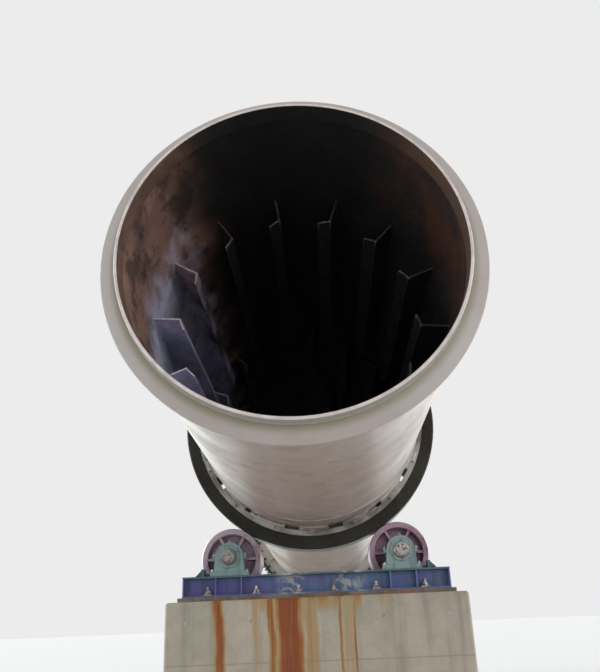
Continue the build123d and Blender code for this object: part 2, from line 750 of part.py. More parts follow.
def gearbox():
    """Cast gearbox with a split flange, feet, side ribs, shaft bosses and an inspection cover."""
    half = gearbox_width / 2
    y0, y1 = motor_place, gearbox_place
    low = -drive_height
    rib = gearbox_rib
    foot = gearbox_split
    body = span(-half, half, y0 + rib, y1 - rib, low + foot / 2, gearbox_top)
    body = fillet(body.edges().filter_by(Axis.Z) + body.edges().group_by(Axis.Z)[-1], gearbox_corner)
    body += span(-half - rib, half + rib, y0, y1, -gearbox_split / 2, gearbox_split / 2)
    body += span(-half - gearbox_foot, half + gearbox_foot, y0, y1, low, low + foot)
    for i in range(gearbox_ribs):
        y = y0 + gearbox_length * (i + 0.5) / gearbox_ribs
        body += span(-half - rib, half + rib, y - rib / 2, y + rib / 2, low + foot / 2, 0)
        body += span(-half - rib / 2, half + rib / 2, y - rib / 2, y + rib / 2, 0, gearbox_top / 2)
    body += rod_y(coupling_hub_radius + rib, y1 - gearbox_corner, y1 + gearbox_boss)
    body += rod_y(motor_radius + rib, y0 - motor_flange, y0 + gearbox_corner)
    middle = (y0 + y1) / 2
    body += span(-gearbox_cover_width / 2, gearbox_cover_width / 2, middle - gearbox_cover_length / 2,
                 middle + gearbox_cover_length / 2, gearbox_top - merge, gearbox_top + rib)
    stub = rod_y(pinion_shaft_radius, y1, coupling_place - coupling_length / 2 - coupling_gap / 2)
    return Pos(pinion_side, 0, -pinion_drop) * (body + stub)


def drive_motor():
    """Flanged motor with cooling fins, a fan cowl and a terminal box."""
    face = motor_place - motor_flange - seat_clearance
    end = face - motor_length
    r = motor_radius
    tip = r + motor_fin_height
    front = face - motor_flange
    cowl = end + motor_cowl
    e = motor_edge
    motor = ring([(0, face), (tip, face), (tip, front), (r, front), (r, cowl), (tip + e, cowl),
                  (tip + e, end + e), (tip, end), (motor_inlet_radius, end), (motor_inlet_radius, end + e),
                  (0, end + e)])
    middle = (front + cowl) / 2
    length = front - cowl - 2 * e
    fin = Pos(r - merge + motor_fin_height / 2, middle, 0) * Box(motor_fin_height, length, motor_fin_plate)
    for i in range(motor_fins):
        motor += Rot(0, 360 / motor_fins * (i + 0.5), 0) * fin
    box = span(r / 2, tip + motor_box_reach, middle - motor_box_length / 2, middle + motor_box_length / 2,
               -motor_box_width / 2, motor_box_width / 2)
    motor += chamfer(box.edges().group_by(Axis.X)[-1], e)
    for y in (middle - length / 3, middle + length / 3):
        motor += span(-motor_foot_width / 2, motor_foot_width / 2, y - motor_foot_length / 2,
                      y + motor_foot_length / 2, -drive_height, -r / 2)
    return Pos(pinion_side, 0, -pinion_drop) * motor


def channel(outer_x, way):
    """Channel along Y with its web at an outer x, opening the given way."""
    t, b = drive_beam_plate, drive_beam_flange
    low, high = drive_bottom, drive_bottom + drive_beam
    x = outer_x
    return along_y([(x, low), (x + way * b, low), (x + way * b, low + t), (x + way * t, low + t),
                    (x + way * t, high - t), (x + way * b, high - t), (x + way * b, high), (x, high)],
                   drive_near, drive_far)


def drive_frame():
    """Two channels with cross plates, and stools for the pinion bearings."""
    half = drive_beam_spacing / 2
    frame = channel(pinion_side - half, 1) + channel(pinion_side + half, -1)
    low, high = drive_bottom + drive_beam, drive_top
    reach = pinion_bearing_foot / 2 + drive_end_margin
    bearing_half = pinion_bearing_width / 2 + drive_beam_plate
    seats = [(gear_place - pinion_bearing_spacing - bearing_half,
              gear_place + pinion_bearing_spacing + bearing_half),
             (gearbox_place - gearbox_length, gearbox_place), (drive_near, motor_place - motor_flange)]
    for y0, y1 in seats:
        frame += span(pinion_side - reach, pinion_side + reach, y0, y1, low, high)
    t = drive_beam_plate
    for y in (drive_near + t / 2, (drive_near + motor_place) / 2, motor_place, gearbox_place,
              gear_place - pinion_bearing_spacing, gear_place + pinion_bearing_spacing, drive_far - t / 2):
        frame += span(pinion_side - half + t / 2, pinion_side + half - t / 2, y - t / 2, y + t / 2,
                      drive_bottom, drive_bottom + drive_beam)
    for side in (-1, 1):
        y = gear_place + side * pinion_bearing_spacing
        foot, under, seat = high + t, high + pinion_chair - 2 * t, high + pinion_chair
        near, far = y - bearing_half, y + bearing_half
        stool = [(near, high), (far, high), (far, foot), (y + t, foot), (y + t, under), (far, under),
                 (far, seat), (near, seat), (near, under), (y - t, under), (y - t, foot), (near, foot)]
        half_stool = pinion_bearing_foot / 2 + t
        frame += along_x(stool, pinion_side - half_stool, pinion_side + half_stool)
    return frame


def build():
    """Make every node."""
    os.makedirs("parts", exist_ok=True)
    for name, shape in shell_sections():
        save(name, tipped(shape))
    feed_ring = end_ring()
    save("feed_ring", tipped(feed_ring))
    save("discharge_ring", tipped(Rot(0, 0, 180) * feed_ring))
    for group, name in enumerate(FLIGHT_GROUPS):
        save(f"{name}_lifting_flights", tipped(flights(group)))
    save("girth_gear", tipped(girth_gear()))
    save("gear_carrier", tipped(gear_carrier()))
    for end, place in zip(ENDS, tyre_places):
        save(f"{end}_tyre", tipped(tyre(place)))
        save(f"{end}_tyre_pads", tipped(tyre_pads(place)))
        save(f"{end}_base_frame", tipped(base_frame(place)))
        wedge, pier = footing(-frame_half_length, frame_half_length, place - frame_half_width,
                              place + frame_half_width, frame_bottom, pier_side_margin, pier_end_margin)
        save(f"{end}_grout", wedge)
        save(f"{end}_pier", pier)
        for side, sign in SIDES:
            seat = Pos(sign * roller_side, 0, -roller_drop)
            save(f"{end}_{side}_roller", tipped(seat * roller_wheel(place)))
            save(f"{end}_{side}_shaft", tipped(seat * roller_shaft(place)))
            save(f"{end}_{side}_bearings", tipped(seat * roller_bearings(place)))
    save("thrust_rollers", tipped(thrust_rollers()))
    save("thrust_housings", tipped(thrust_housings()))
    save("gear_guard", tipped(gear_guard()))
    save("pinion_shaft", tipped(pinion_shaft()))
    save("pinion_bearings", tipped(pinion_bearings()))
    save("drive_coupling", tipped(drive_coupling()))
    save("gearbox", tipped(gearbox()))
    save("drive_motor", tipped(drive_motor()))
    save("drive_frame", tipped(drive_frame()))
    half = max(pinion_bearing_foot / 2 + drive_end_margin, gearbox_width / 2 + gearbox_foot)
    pier_face = along_floor(tyre_places[1] - frame_half_width, frame_bottom) - pier_side_margin
    wedge, plinth = footing(pinion_side - half, pinion_side + half, drive_near, drive_far, drive_bottom,
                            plinth_margin, plinth_margin, pier_face - seat_clearance)
    save("drive_plinth", plinth + wedge)


build()
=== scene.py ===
"""Looks of a rotary drum dryer: its finishes, fasteners, welds and fittings, round the fixed frame.

The frame's joints give the drum's sloping axis and the rollers' axes, and the meshes of its nodes give
the sizes that the new pieces follow. Lengths are metres. The drum's own coordinates have their origin
on the axis at mid-length, with Y along the axis towards the discharge end and Z up across it.
"""
from __future__ import annotations

import json
import logging
import math
from dataclasses import dataclass, field
from enum import Enum
from functools import reduce
from typing import Any, Dict, Iterator, Optional, Sequence, Tuple, Union

import bpy
import numpy as np
from mathutils import Matrix, Vector


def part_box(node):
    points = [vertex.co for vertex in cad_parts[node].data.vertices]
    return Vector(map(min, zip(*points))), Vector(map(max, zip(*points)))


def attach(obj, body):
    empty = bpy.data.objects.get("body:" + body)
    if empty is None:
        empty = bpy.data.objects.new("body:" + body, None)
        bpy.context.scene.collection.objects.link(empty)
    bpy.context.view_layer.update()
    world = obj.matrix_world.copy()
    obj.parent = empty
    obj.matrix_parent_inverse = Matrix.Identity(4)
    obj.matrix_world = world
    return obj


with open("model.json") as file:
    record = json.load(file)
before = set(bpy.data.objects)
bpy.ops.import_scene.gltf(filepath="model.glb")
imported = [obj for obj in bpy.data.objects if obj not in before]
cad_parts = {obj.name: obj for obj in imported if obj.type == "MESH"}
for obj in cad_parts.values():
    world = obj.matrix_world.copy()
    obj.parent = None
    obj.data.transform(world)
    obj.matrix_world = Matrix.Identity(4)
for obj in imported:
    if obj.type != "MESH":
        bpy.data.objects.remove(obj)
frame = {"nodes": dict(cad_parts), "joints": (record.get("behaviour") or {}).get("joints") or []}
logger = logging.getLogger("drum_dryer")
Triple = Tuple[float, float, float]
Profile = Sequence[Tuple[float, float]]
Material = bpy.types.Material
Values = Union[float, np.ndarray]
Number = Union[float, "Wire"]
Tint = Union[Triple, "Wire"]
Wires = Tuple["Wire", "Wire", "Wire"]
SMOOTH_ANGLE = math.radians(35.0)  # an edge that turns by more is drawn sharp
GOLDEN_ANGLE = 2.39996  # turn from one fastener to the next, so that no two stand alike
NEARLY_UPRIGHT = 0.9  # a direction with more than this of Z is squared against X instead
EDGE_SPAN = (0.01, 0.16)  # bend of the rounded normal, from a flat to a worn edge
SWELL = 0.12  # share of its size by which a weld bead swells
SWELL_WAVES = ((0.6, 3.0), (0.4, 7.3))  # share and length in steps of each wave of the swelling
BEAD_END = 0.25  # share of its size that an open bead keeps at its ends
SUNK = 0.001  # depth to which a foot sits in the steel under it
LIP_WALL, LIP_DEPTH, FLIGHT_HEIGHT = 0.022, 0.090, 0.222
COOL, WARM = (0.91, 0.98, 1.0), (1.0, 0.95, 1.0)
UP, DOWN, TO_RIGHT = (0.0, 0.0, 1.0), (0.0, 0.0, -1.0), (1.0, 0.0, 0.0)
TO_FEED, TO_DISCHARGE = (0.0, -1.0, 0.0), (0.0, 1.0, 0.0)


class Body(Enum):
    """Rigid bodies that pieces ride on, apart from the support rollers."""

    FOUNDATION = "foundation"
    DRUM = "drum"


class Finish(Enum):
    """Material slots of the record that new pieces take their finish from."""

    SHELL = "shell_paint"
    FLIGHT = "flight_steel"
    PAD = "pad_steel"
    SHAFT = "shaft_steel"
    GEAR = "gear_steel"
    BEARING = "bearing_paint"
    FRAME = "frame_paint"
    DRIVE = "drive_paint"
    CONCRETE = "concrete"


class End(Enum):
    """Ends of the drum that a tyre and its support stand near."""

    FRONT = "front"
    REAR = "rear"


class Side(Enum):
    """Sides of the drum, seen from the feed end."""

    LEFT = "left"
    RIGHT = "right"


class Wire:
    """A socket of a node tree that takes part in Python arithmetic."""

    def __init__(self, bench: NodeBench, socket: bpy.types.NodeSocket) -> None:
        """Keep the socket and the bench that it belongs to."""
        self.bench = bench
        self.socket = socket

    def __add__(self, other: Number) -> Wire:
        """Sum of two values."""
        return self.bench.math("ADD", self, other)

    def __sub__(self, other: Number) -> Wire:
        """Difference of two values."""
        return self.bench.math("SUBTRACT", self, other)

    def __rsub__(self, other: Number) -> Wire:
        """Difference with this value taken away."""
        return self.bench.math("SUBTRACT", other, self)

    def __mul__(self, other: Number) -> Wire:
        """Product of two values."""
        return self.bench.math("MULTIPLY", self, other)

    def __truediv__(self, other: Number) -> Wire:
        """Quotient of two values."""
        return self.bench.math("DIVIDE", self, other)

    def __rtruediv__(self, other: Number) -> Wire:
        """Quotient with this value as the divisor."""
        return self.bench.math("DIVIDE", other, self)

    def __neg__(self) -> Wire:
        """Negative of this value."""
        return self.bench.math("MULTIPLY", self, -1.0)

    def __abs__(self) -> Wire:
        """Distance of this value from nought."""
        return self.bench.math("ABSOLUTE", self)

    __radd__ = __add__
    __rmul__ = __mul__

    def larger(self, other: Number) -> Wire:
        """Larger of two values."""
        return self.bench.math("MAXIMUM", self, other)

    def output(self, key: Union[int, str]) -> Wire:
        """Another output of the node that this value comes from."""
        return Wire(self.bench, self.socket.node.outputs[key])

    def rise(self, low: float, high: float) -> Wire:
        """Soft step from 0 at one value to 1 at another.

        Args:
            low: Where the step starts from 0.
            high: Where it reaches 1. Below low, the step goes down.

        Returns:
            The stepped value.
        """
        down = float(low > high)
        ends = {0: self, 1: min(low, high), 2: max(low, high), 3: down, 4: 1.0 - down}
        return self.bench.add("ShaderNodeMapRange", {"interpolation_type": "SMOOTHSTEP"}, ends)


class NodeBench:
    """A node tree, and the one way in which its nodes are added and fed."""

    def __init__(self, tree: bpy.types.NodeTree) -> None:
        """Keep the tree."""
        self.tree = tree

    def feed(self, node: bpy.types.Node, values: Dict[Any, Any]) -> None:
        """Link or set inputs of a node.

        Args:
            node: The node.
            values: A number, a tuple or a wire for each input, by name or place.
        """
        for key, value in values.items():
            if isinstance(value, Wire):
                self.tree.links.new(value.socket, node.inputs[key])
            else:
                node.inputs[key].default_value = value

    def add(self, kind: str, settings: Dict[str, Any], values: Dict[Any, Any], output: Union[int, str] = 0) -> Wire:
        """Add one node.

        Args:
            kind: The node's type.
            settings: Its properties, which are set first.
            values: A number, a tuple or a wire for each input, by name or place.
            output: Name or place of the output that is wanted.

        Returns:
            That output.
        """
        node = self.tree.nodes.new(kind)
        for key, value in settings.items():
            setattr(node, key, value)
        self.feed(node, values)
        return Wire(self, node.outputs[output])

    def math(self, operation: str, *values: Number) -> Wire:
        """Result of one Math node on the values, in their order."""
        return self.add("ShaderNodeMath", {"operation": operation}, dict(enumerate(values)))


@dataclass(frozen=True)
class Grain:
    """A noise pattern: its scale per metre, its octaves and how rough they are.

    The values between the ends of its span are stepped to 0 to 1, and its stretch multiplies the position.
    """

    scale: float
    detail: float = 4.0
    roughness: float = 0.55
    span: Optional[Tuple[float, float]] = None
    stretch: Optional[Triple] = None


class Bench(NodeBench):
    """One material's node tree, and the patterns that the finishes share."""

    def __init__(self, name: str) -> None:
        """Start a material with a plain shader.

        Args:
            name: The material's name.
        """
        self.material = bpy.data.materials.new(name)
        self.material.use_nodes = True
        super().__init__(self.material.node_tree)
        self.shader = self.tree.nodes["Principled BSDF"]

    def place(self) -> Wire:
        """Position on the piece, in the frame's coordinates."""
        return self.add("ShaderNodeTexCoord", {}, {}, "Object")

    def turned(self, origin: Sequence[float]) -> Wire:
        """Position about an origin, in coordinates that slope with the drum."""
        return self.add("ShaderNodeMapping", {"vector_type": "TEXTURE"},
                        {"Vector": self.place(), "Location": tuple(origin), "Rotation": (-DRUM.fall, 0.0, 0.0)})

    def scaled(self, vector: Wire, scale: Triple) -> Wire:
        """Vector with each part multiplied."""
        return self.add("ShaderNodeVectorMath", {"operation": "MULTIPLY"}, {0: vector, 1: scale})

    def parts(self, vector: Wire) -> Wires:
        """The X, Y and Z of a vector."""
        split = self.add("ShaderNodeSeparateXYZ", {}, {0: vector})
        return tuple(split.output(key) for key in range(3))

    def radius(self, vector: Wire) -> Wire:
        """Distance from the vector's Y axis."""
        flat = self.scaled(vector, (1.0, 0.0, 1.0))
        return self.add("ShaderNodeVectorMath", {"operation": "LENGTH"}, {0: flat}, "Value")

    def grain(self, vector: Wire, grain: Grain) -> Wire:
        """Smooth noise between 0 and 1.

        Args:
            vector: Position that the pattern lies on.
            grain: The pattern.

        Returns:
            The noise.
        """
        if grain.stretch:
            vector = self.scaled(vector, grain.stretch)
        noise = self.add("ShaderNodeTexNoise", {"noise_dimensions": "3D"},
                         {"Vector": vector, "Scale": grain.scale, "Detail": grain.detail,
                          "Roughness": grain.roughness})
        return noise.rise(*grain.span) if grain.span else noise

    def cells(self, vector: Wire, scale: float) -> Wire:
        """Distance to the nearest of many scattered points."""
        return self.add("ShaderNodeTexVoronoi", {"feature": "F1"}, {"Vector": vector, "Scale": scale})

    def mix(self, first: Tint, second: Tint, share: Number) -> Wire:
        """Colour between two colours."""
        pair = [value if isinstance(value, Wire) else (*value, 1.0) for value in (first, second)]
        return self.add("ShaderNodeMix", {"data_type": "RGBA"}, {0: share, 6: pair[0], 7: pair[1]}, 2)

    def coats(self, colour: Tint, *layers: Tuple[Tint, Number]) -> Wire:
        """Colour with other colours laid over it in turn.

        Args:
            colour: The colour underneath.
            layers: Each colour over it, with the share in which it covers.

        Returns:
            The colour that is seen.
        """
        for tone, share in layers:
            colour = self.mix(colour, tone, share)
        return colour

    def normal(self) -> Wire:
        """Normal of the surface, with no bump."""
        return self.add("ShaderNodeNewGeometry", {}, {}, "Normal")

    def edges(self, reach: float) -> Wire:
        """Mask of the piece's sharp edges.

        The rounded normal and the plain one give 1 minus their dot product, which is 0 on a flat.

        Args:
            reach: Distance over which the surface is rounded.

        Returns:
            1 on the edges and 0 on the flats.
        """
        rounded = self.add("ShaderNodeBevel", {"samples": 4}, {"Radius": reach})
        alike = self.add("ShaderNodeVectorMath", {"operation": "DOT_PRODUCT"},
                         {0: rounded, 1: self.normal()}, "Value")
        return (1.0 - alike).rise(*EDGE_SPAN)

    def upward(self) -> Wire:
        """How far the surface faces up, from -1 to 1."""
        return self.parts(self.normal())[2]

    def bump(self, height: Wire, depth: float) -> Wire:
        """Normal of a surface that rises by a depth where the height is 1."""
        return self.add("ShaderNodeBump", {}, {"Strength": 1.0, "Distance": depth, "Height": height})

    def finish(self, colour: Tint, roughness: Number, normal: Optional[Wire] = None, metal: Number = 0.0,
               coat: float = 0.0, shine: float = 0.5) -> Material:
        """Feed the shader.

        Args:
            colour: Base colour.
            roughness: Roughness from 0 to 1.
            normal: Normal from a bump, where there is one.
            metal: Share of bare metal.
            coat: Clear coat over a paint.
            shine: Specular level, 0.5 for a common surface.

        Returns:
            The material.
        """
        values = {"Base Color": colour if isinstance(colour, Wire) else (*colour, 1.0),
                  "Roughness": roughness, "Metallic": metal, "Coat Weight": coat, "Specular IOR Level": shine}
        if normal is not None:
            values["Normal"] = normal
        self.feed(self.shader, values)
        return self.material


def joint_with(key: str, value: str) -> Dict[str, Any]:
    """The frame's first joint that has a value under a key."""
    return next(joint for joint in frame["joints"] if joint[key] == value)


def vertices(node: str) -> np.ndarray:
    """Vertices of a node of the frame.

    Args:
        node: The node's name.

    Returns:
        One row (x, y, z) for each vertex.
    """
    mesh = frame["nodes"][node].data
    points = np.empty(len(mesh.vertices) * 3)
    mesh.vertices.foreach_get("co", points)
    return points.reshape(-1, 3)


@dataclass(frozen=True)
class DrumAxis:
    """The drum's sloping axis, and the way between its coordinates and the floor's."""

    origin: Triple
    fall: float

    @classmethod
    def from_joint(cls, name: str) -> DrumAxis:
        """Read the axis from the joint that turns the drum."""
        joint = joint_with("name", name)
        return cls(tuple(joint["pos_m"]), math.atan2(-joint["axis"][2], joint["axis"][1]))

    def turn(self) -> np.ndarray:
        """Rows that turn a drum vector into a floor vector."""
        c, s = math.cos(self.fall), math.sin(self.fall)
        return np.array([[1, 0, 0], [0, c, s], [0, -s, c]])

    def to_floor(self, points: np.ndarray) -> np.ndarray:
        """Drum coordinates to floor coordinates."""
        return points @ self.turn().T + np.array(self.origin)

    def to_drum(self, points: np.ndarray) -> np.ndarray:
        """Floor coordinates to drum coordinates."""
        return (points - np.array(self.origin)) @ self.turn()

    def extent(self, node: str) -> Tuple[np.ndarray, np.ndarray]:
        """Lowest and highest corner of a node in drum coordinates."""
        points = self.to_drum(vertices(node))
        return points.min(0), points.max(0)

    def reach(self, node: str, about: Sequence[float] = (0.0, 0.0, 0.0)) -> Tuple[float, float]:
        """Distances of a node's vertices from the drum's axis, or from a line beside it.

        Args:
            node: The node's name.
            about: Point that the line passes, in drum coordinates.

        Returns:
            The least and the greatest distance.
        """
        points = self.to_drum(vertices(node)) - np.array(about)
        radius = np.hypot(points[:, 0], points[:, 2])
        return float(radius.min()), float(radius.max())


DRUM = DrumAxis.from_joint("drum_spin")
SHELL_INNER = DRUM.reach("feed_shell")[0]
MOUTH_INNER = DRUM.reach("feed_ring")[0]
LIP_OUTER = MOUTH_INNER + LIP_WALL
END_PLACE = float(DRUM.extent("discharge_ring")[1][1])
FLIGHT_TIP = SHELL_INNER - FLIGHT_HEIGHT
TYRE_PLACE = float(np.mean([corner[1] for corner in DRUM.extent("rear_tyre")]))
PIER_FRONT = float(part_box("front_pier")[0].y)
PIER_TOP = float(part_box("front_pier")[1].z)
FRAME_TOP = float(DRUM.extent("front_left_bearings")[0][2])


@dataclass(frozen=True)
class SupportRoller:
    """One of the four support rollers."""

    end: End
    side: Side

    @property
    def place(self) -> str:
        """Words that its names start with."""
        return f"{self.end.value}_{self.side.value}"

    @property
    def body(self) -> str:
        """Name of its body."""
        return self.place + "_support_roller"

    def origin(self) -> Triple:
        """Point on its axis in the floor's coordinates."""
        return tuple(joint_with("child", self.body)["pos_m"])

    def middle(self) -> np.ndarray:
        """The same point in drum coordinates, which lies at the tyre's middle."""
        return DRUM.to_drum(np.array(self.origin()))

    def rim(self) -> float:
        """Radius of its running face."""
        return DRUM.reach(self.place + "_roller", self.middle())[1]


def unit(vectors: np.ndarray) -> np.ndarray:
    """Vectors brought to length 1."""
    return vectors / np.linalg.norm(vectors, axis=-1, keepdims=True)


def around(count: int, start: float = 0.0) -> np.ndarray:
    """Equal steps of a full turn, in radians."""
    return start + np.arange(count) * 2 * np.pi / count


def ring_y(radius: float, place: float, angles: np.ndarray) -> np.ndarray:
    """Points round the Y axis: (r cos a, y, r sin a)."""
    return np.stack(np.broadcast_arrays(radius * np.cos(angles), place, radius * np.sin(angles)), -1)


def ring_z(radius: Values, height: Values, angles: np.ndarray) -> np.ndarray:
    """Points round the Z axis: (r cos a, r sin a, z), for one radius and height or for a column of each."""
    return np.stack(np.broadcast_arrays(radius * np.cos(angles), radius * np.sin(angles), height), -1)


def spoke(angle: float) -> Tuple[np.ndarray, np.ndarray]:
    """Direction away from the Y axis at an angle, and direction round it."""
    c, s = math.cos(angle), math.sin(angle)
    return np.array([c, 0.0, s]), np.array([-s, 0.0, c])


def along(places: Sequence[float]) -> np.ndarray:
    """Points (0, y, 0) along the drum."""
    return np.outer(places, TO_DISCHARGE)


def both(value: float, middle: float = 0.0) -> Tuple[float, float]:
    """The two values that lie as far below and above a middle."""
    return middle - value, middle + value


def every(*choices: Sequence[float]) -> np.ndarray:
    """All points (x, y, z) whose parts come from three lists."""
    return np.stack(np.meshgrid(*choices, indexing="ij"), -1).reshape(-1, 3)


def carried(places: Sequence[Any]) -> np.ndarray:
    """4x4 matrices that carry a piece to each place without a turn.

    Args:
        places: One place, or one row each.

    Returns:
        One matrix for each place.
    """
    places = np.atleast_2d(places)
    matrices = np.tile(np.eye(4), (len(places), 1, 1))
    matrices[:, :3, 3] = places
    return matrices


def facing(places: Sequence[Any], directions: Sequence[Any]) -> np.ndarray:
    """4x4 matrices that stand a piece made along Z on each place, each turned by a golden angle more.

    Args:
        places: Where the piece's origin goes: one place, or one row each.
        directions: Where its Z axis points: one direction for all, or one row each.

    Returns:
        One matrix for each place.
    """
    matrices = carried(places)
    z = unit(np.broadcast_to(np.array(directions, float), (len(matrices), 3)))
    x = unit(np.cross(np.where(np.abs(z[:, 2:]) < NEARLY_UPRIGHT, UP, TO_RIGHT), z))
    y = np.cross(z, x)
    a = (np.arange(len(matrices)) * GOLDEN_ANGLE)[:, None]
    matrices[:, :3, :3] = np.stack([x * np.cos(a) + y * np.sin(a), y * np.cos(a) - x * np.sin(a), z], -1)
    return matrices


@dataclass
class Sheet:
    """A polygon mesh as arrays: points, the corners of all faces in a row, and each face's corner count."""

    points: np.ndarray
    corners: np.ndarray
    counts: np.ndarray

    @classmethod
    def skin(cls, outlines: np.ndarray, closed: bool = False) -> Sheet:
        """Skin over a row of closed outlines, with a quad for each step along and round.

        Args:
            outlines: Points by outline and by place on it, as an array of (outlines, places, 3).
            closed: Whether the last outline joins the first. Otherwise, flat polygons close both ends.

        Returns:
            The mesh. Its faces point outwards where the outlines go against the clock, seen from the last.
        """
        rows, columns = outlines.shape[:2]
        i = np.arange(rows if closed else rows - 1)[:, None] * columns
        i1 = (i + columns) % (rows * columns)
        j = np.arange(columns)[None]
        j1 = (j + 1) % columns
        quads = np.stack([i + j, i + j1, i1 + j1, i1 + j], -1)
        corners, counts = [quads.ravel()], [4] * (quads.size // 4)
        if not closed:
            corners += [j[0, ::-1], (rows - 1) * columns + j[0]]
            counts += [columns, columns]
        return cls(outlines.reshape(-1, 3), np.concatenate(corners), np.array(counts))

    @staticmethod
    def joined(sheets: Sequence[Sheet]) -> Sheet:
        """Several meshes as one.

        Args:
            sheets: The meshes.

        Returns:
            One mesh with the faces of all of them.
        """
        shifts = np.cumsum([0] + [len(s.points) for s in sheets[:-1]])
        return Sheet(np.concatenate([s.points for s in sheets]),
                     np.concatenate([s.corners + shift for s, shift in zip(sheets, shifts)]),
                     np.concatenate([s.counts for s in sheets]))

    def repeated(self, matrices: np.ndarray) -> Sheet:
        """Copies of the mesh: every point times every matrix.

        Args:
            matrices: One 4x4 matrix for each copy.

        Returns:
            One mesh with all the copies.
        """
        points = np.einsum("nij,pj->npi", matrices[:, :3, :3], self.points) + matrices[:, None, :3, 3]
        shifts = np.arange(len(matrices))[:, None] * len(self.points)
        return Sheet(points.reshape(-1, 3), (self.corners[None] + shifts).ravel(),
                     np.tile(self.counts, len(matrices)))

    def to(self, places: Sequence[Any]) -> Sheet:
        """Copies that are carried to each place without a turn."""
        return self.repeated(carried(places))

    def at(self, places: Sequence[Any], directions: Sequence[Any]) -> Sheet:
        """Copies that stand on each place along each direction."""
        return self.repeated(facing(places, directions))


def turned(profile: Profile, sides: int, ring: bool = False) -> Sheet:
    """Solid or ring turned about Z.

    A point is (r cos a, r sin a, z), where (r, z) runs along the profile and a goes round in equal steps.

    Args:
        profile: Points (radius, height), with radii above nought: from the low end to the high end of a
            solid, or against the clock round the section of a ring.
        sides: Steps round the axis, 6 for a hexagon.
        ring: Whether the profile closes on itself. Otherwise, flat polygons close both ends.

    Returns:
        The mesh, with faces that point outwards.
    """
    radius, height = np.array(profile).T[..., None]
    return Sheet.skin(ring_z(radius, height, around(sides)), ring)


def torus(radius: float, rod: float, steps: int, sides: int) -> Sheet:
    """Wire ring about Z: the rod's circle (R + r cos t, r sin t) turned about the axis."""
    t = around(steps)
    return turned(np.stack([radius + rod * np.cos(t), rod * np.sin(t)], -1), sides, ring=True)


def block(low: Sequence[float], high: Sequence[float], edge: float) -> Sheet:
    """Block with bevelled edges.

    Each level is a rectangle with its corners cut, of eight points: the full outline at the two middle
    levels, and one drawn in by the edge at the bottom and the top.

    Args:
        low: Lowest corner.
        high: Highest corner.
        edge: Width and height of the bevels.

    Returns:
        The mesh.
    """
    low, high = np.array(low, float), np.array(high, float)
    half = (high - low) / 2
    sign = np.array([(1, -1), (1, 1), (-1, 1), (-1, -1)], float)[:, None]
    cut = np.array([[(1, 0), (0, 1)], [(0, 1), (1, 0)]] * 2) * edge
    inset = np.array([edge, 0.0, 0.0, edge])
    outlines = (sign * (half[:2] - cut - inset[:, None, None, None])).reshape(4, 8, 2)
    level = np.array([-1.0, -1.0, 1.0, 1.0]) * (half[2] - edge + inset)
    points = np.concatenate([outlines, np.tile(level[:, None, None], (1, 8, 1))], -1)
    return Sheet.skin(points + (high + low) / 2)


def bead(path: np.ndarray, out: np.ndarray, width: float, height: float, closed: bool, sides: int = 8) -> Sheet:
    """Weld bead along a path.

    A point is path + side * (w/2) cos v + out * h sin v, where v goes round the bead's section and side
    is square to the path and to out. The width w and the height h swell a little along the path, as the
    sum of two waves of different length. Both ends of an open bead shrink to a small flat.

    Args:
        path: Points along the weld, one row each.
        out: Direction away from the steel: one for all points, or one row each.
        width: Width of the bead.
        height: Height of the bead.
        closed: Whether the path closes on itself.
        sides: Points round the section.

    Returns:
        The mesh.
    """
    out = np.broadcast_to(out, path.shape)
    ahead = np.roll(path, -1, 0) - np.roll(path, 1, 0) if closed else np.gradient(path, axis=0)
    side = unit(np.cross(out, ahead))
    step = np.arange(len(path)) * 2 * np.pi
    swell = 1 + SWELL * sum(share * np.sin(step / length) for share, length in SWELL_WAVES)
    if not closed:
        swell[[0, -1]] *= BEAD_END
    v = around(sides)[:, None]
    section = side[:, None] * (width / 2) * np.cos(v) + out[:, None] * height * np.sin(v)
    return Sheet.skin(path[:, None] + section * swell[:, None, None], closed)


def hoop(radius: float, place: float, angles: np.ndarray, width: float, height: float, closed: bool) -> Sheet:
    """Weld bead round the drum's axis, over some angles."""
    return bead(ring_y(radius, place, angles), ring_y(1.0, 0.0, angles), width, height, closed)


def lifting_eyes(places: Sequence[Any], radius: float, rod: float) -> Sheet:
    """Upright wire rings on collars.

    Args:
        places: Points that the eyes stand on.
        radius: Radius of the ring's middle line.
        rod: Radius of its rod.

    Returns:
        The mesh of all of them.
    """
    upright = np.array(Matrix.Translation((0.0, 0.0, radius + rod)) @ Matrix.Rotation(math.pi / 2, 4, "X"))
    collar = turned([(radius * 0.8, -0.002), (radius * 0.8, rod * 0.9), (radius * 0.6, rod * 1.4)], 20)
    return Sheet.joined([torus(radius, rod, 10, 28).repeated(upright[None]), collar]).to(places)


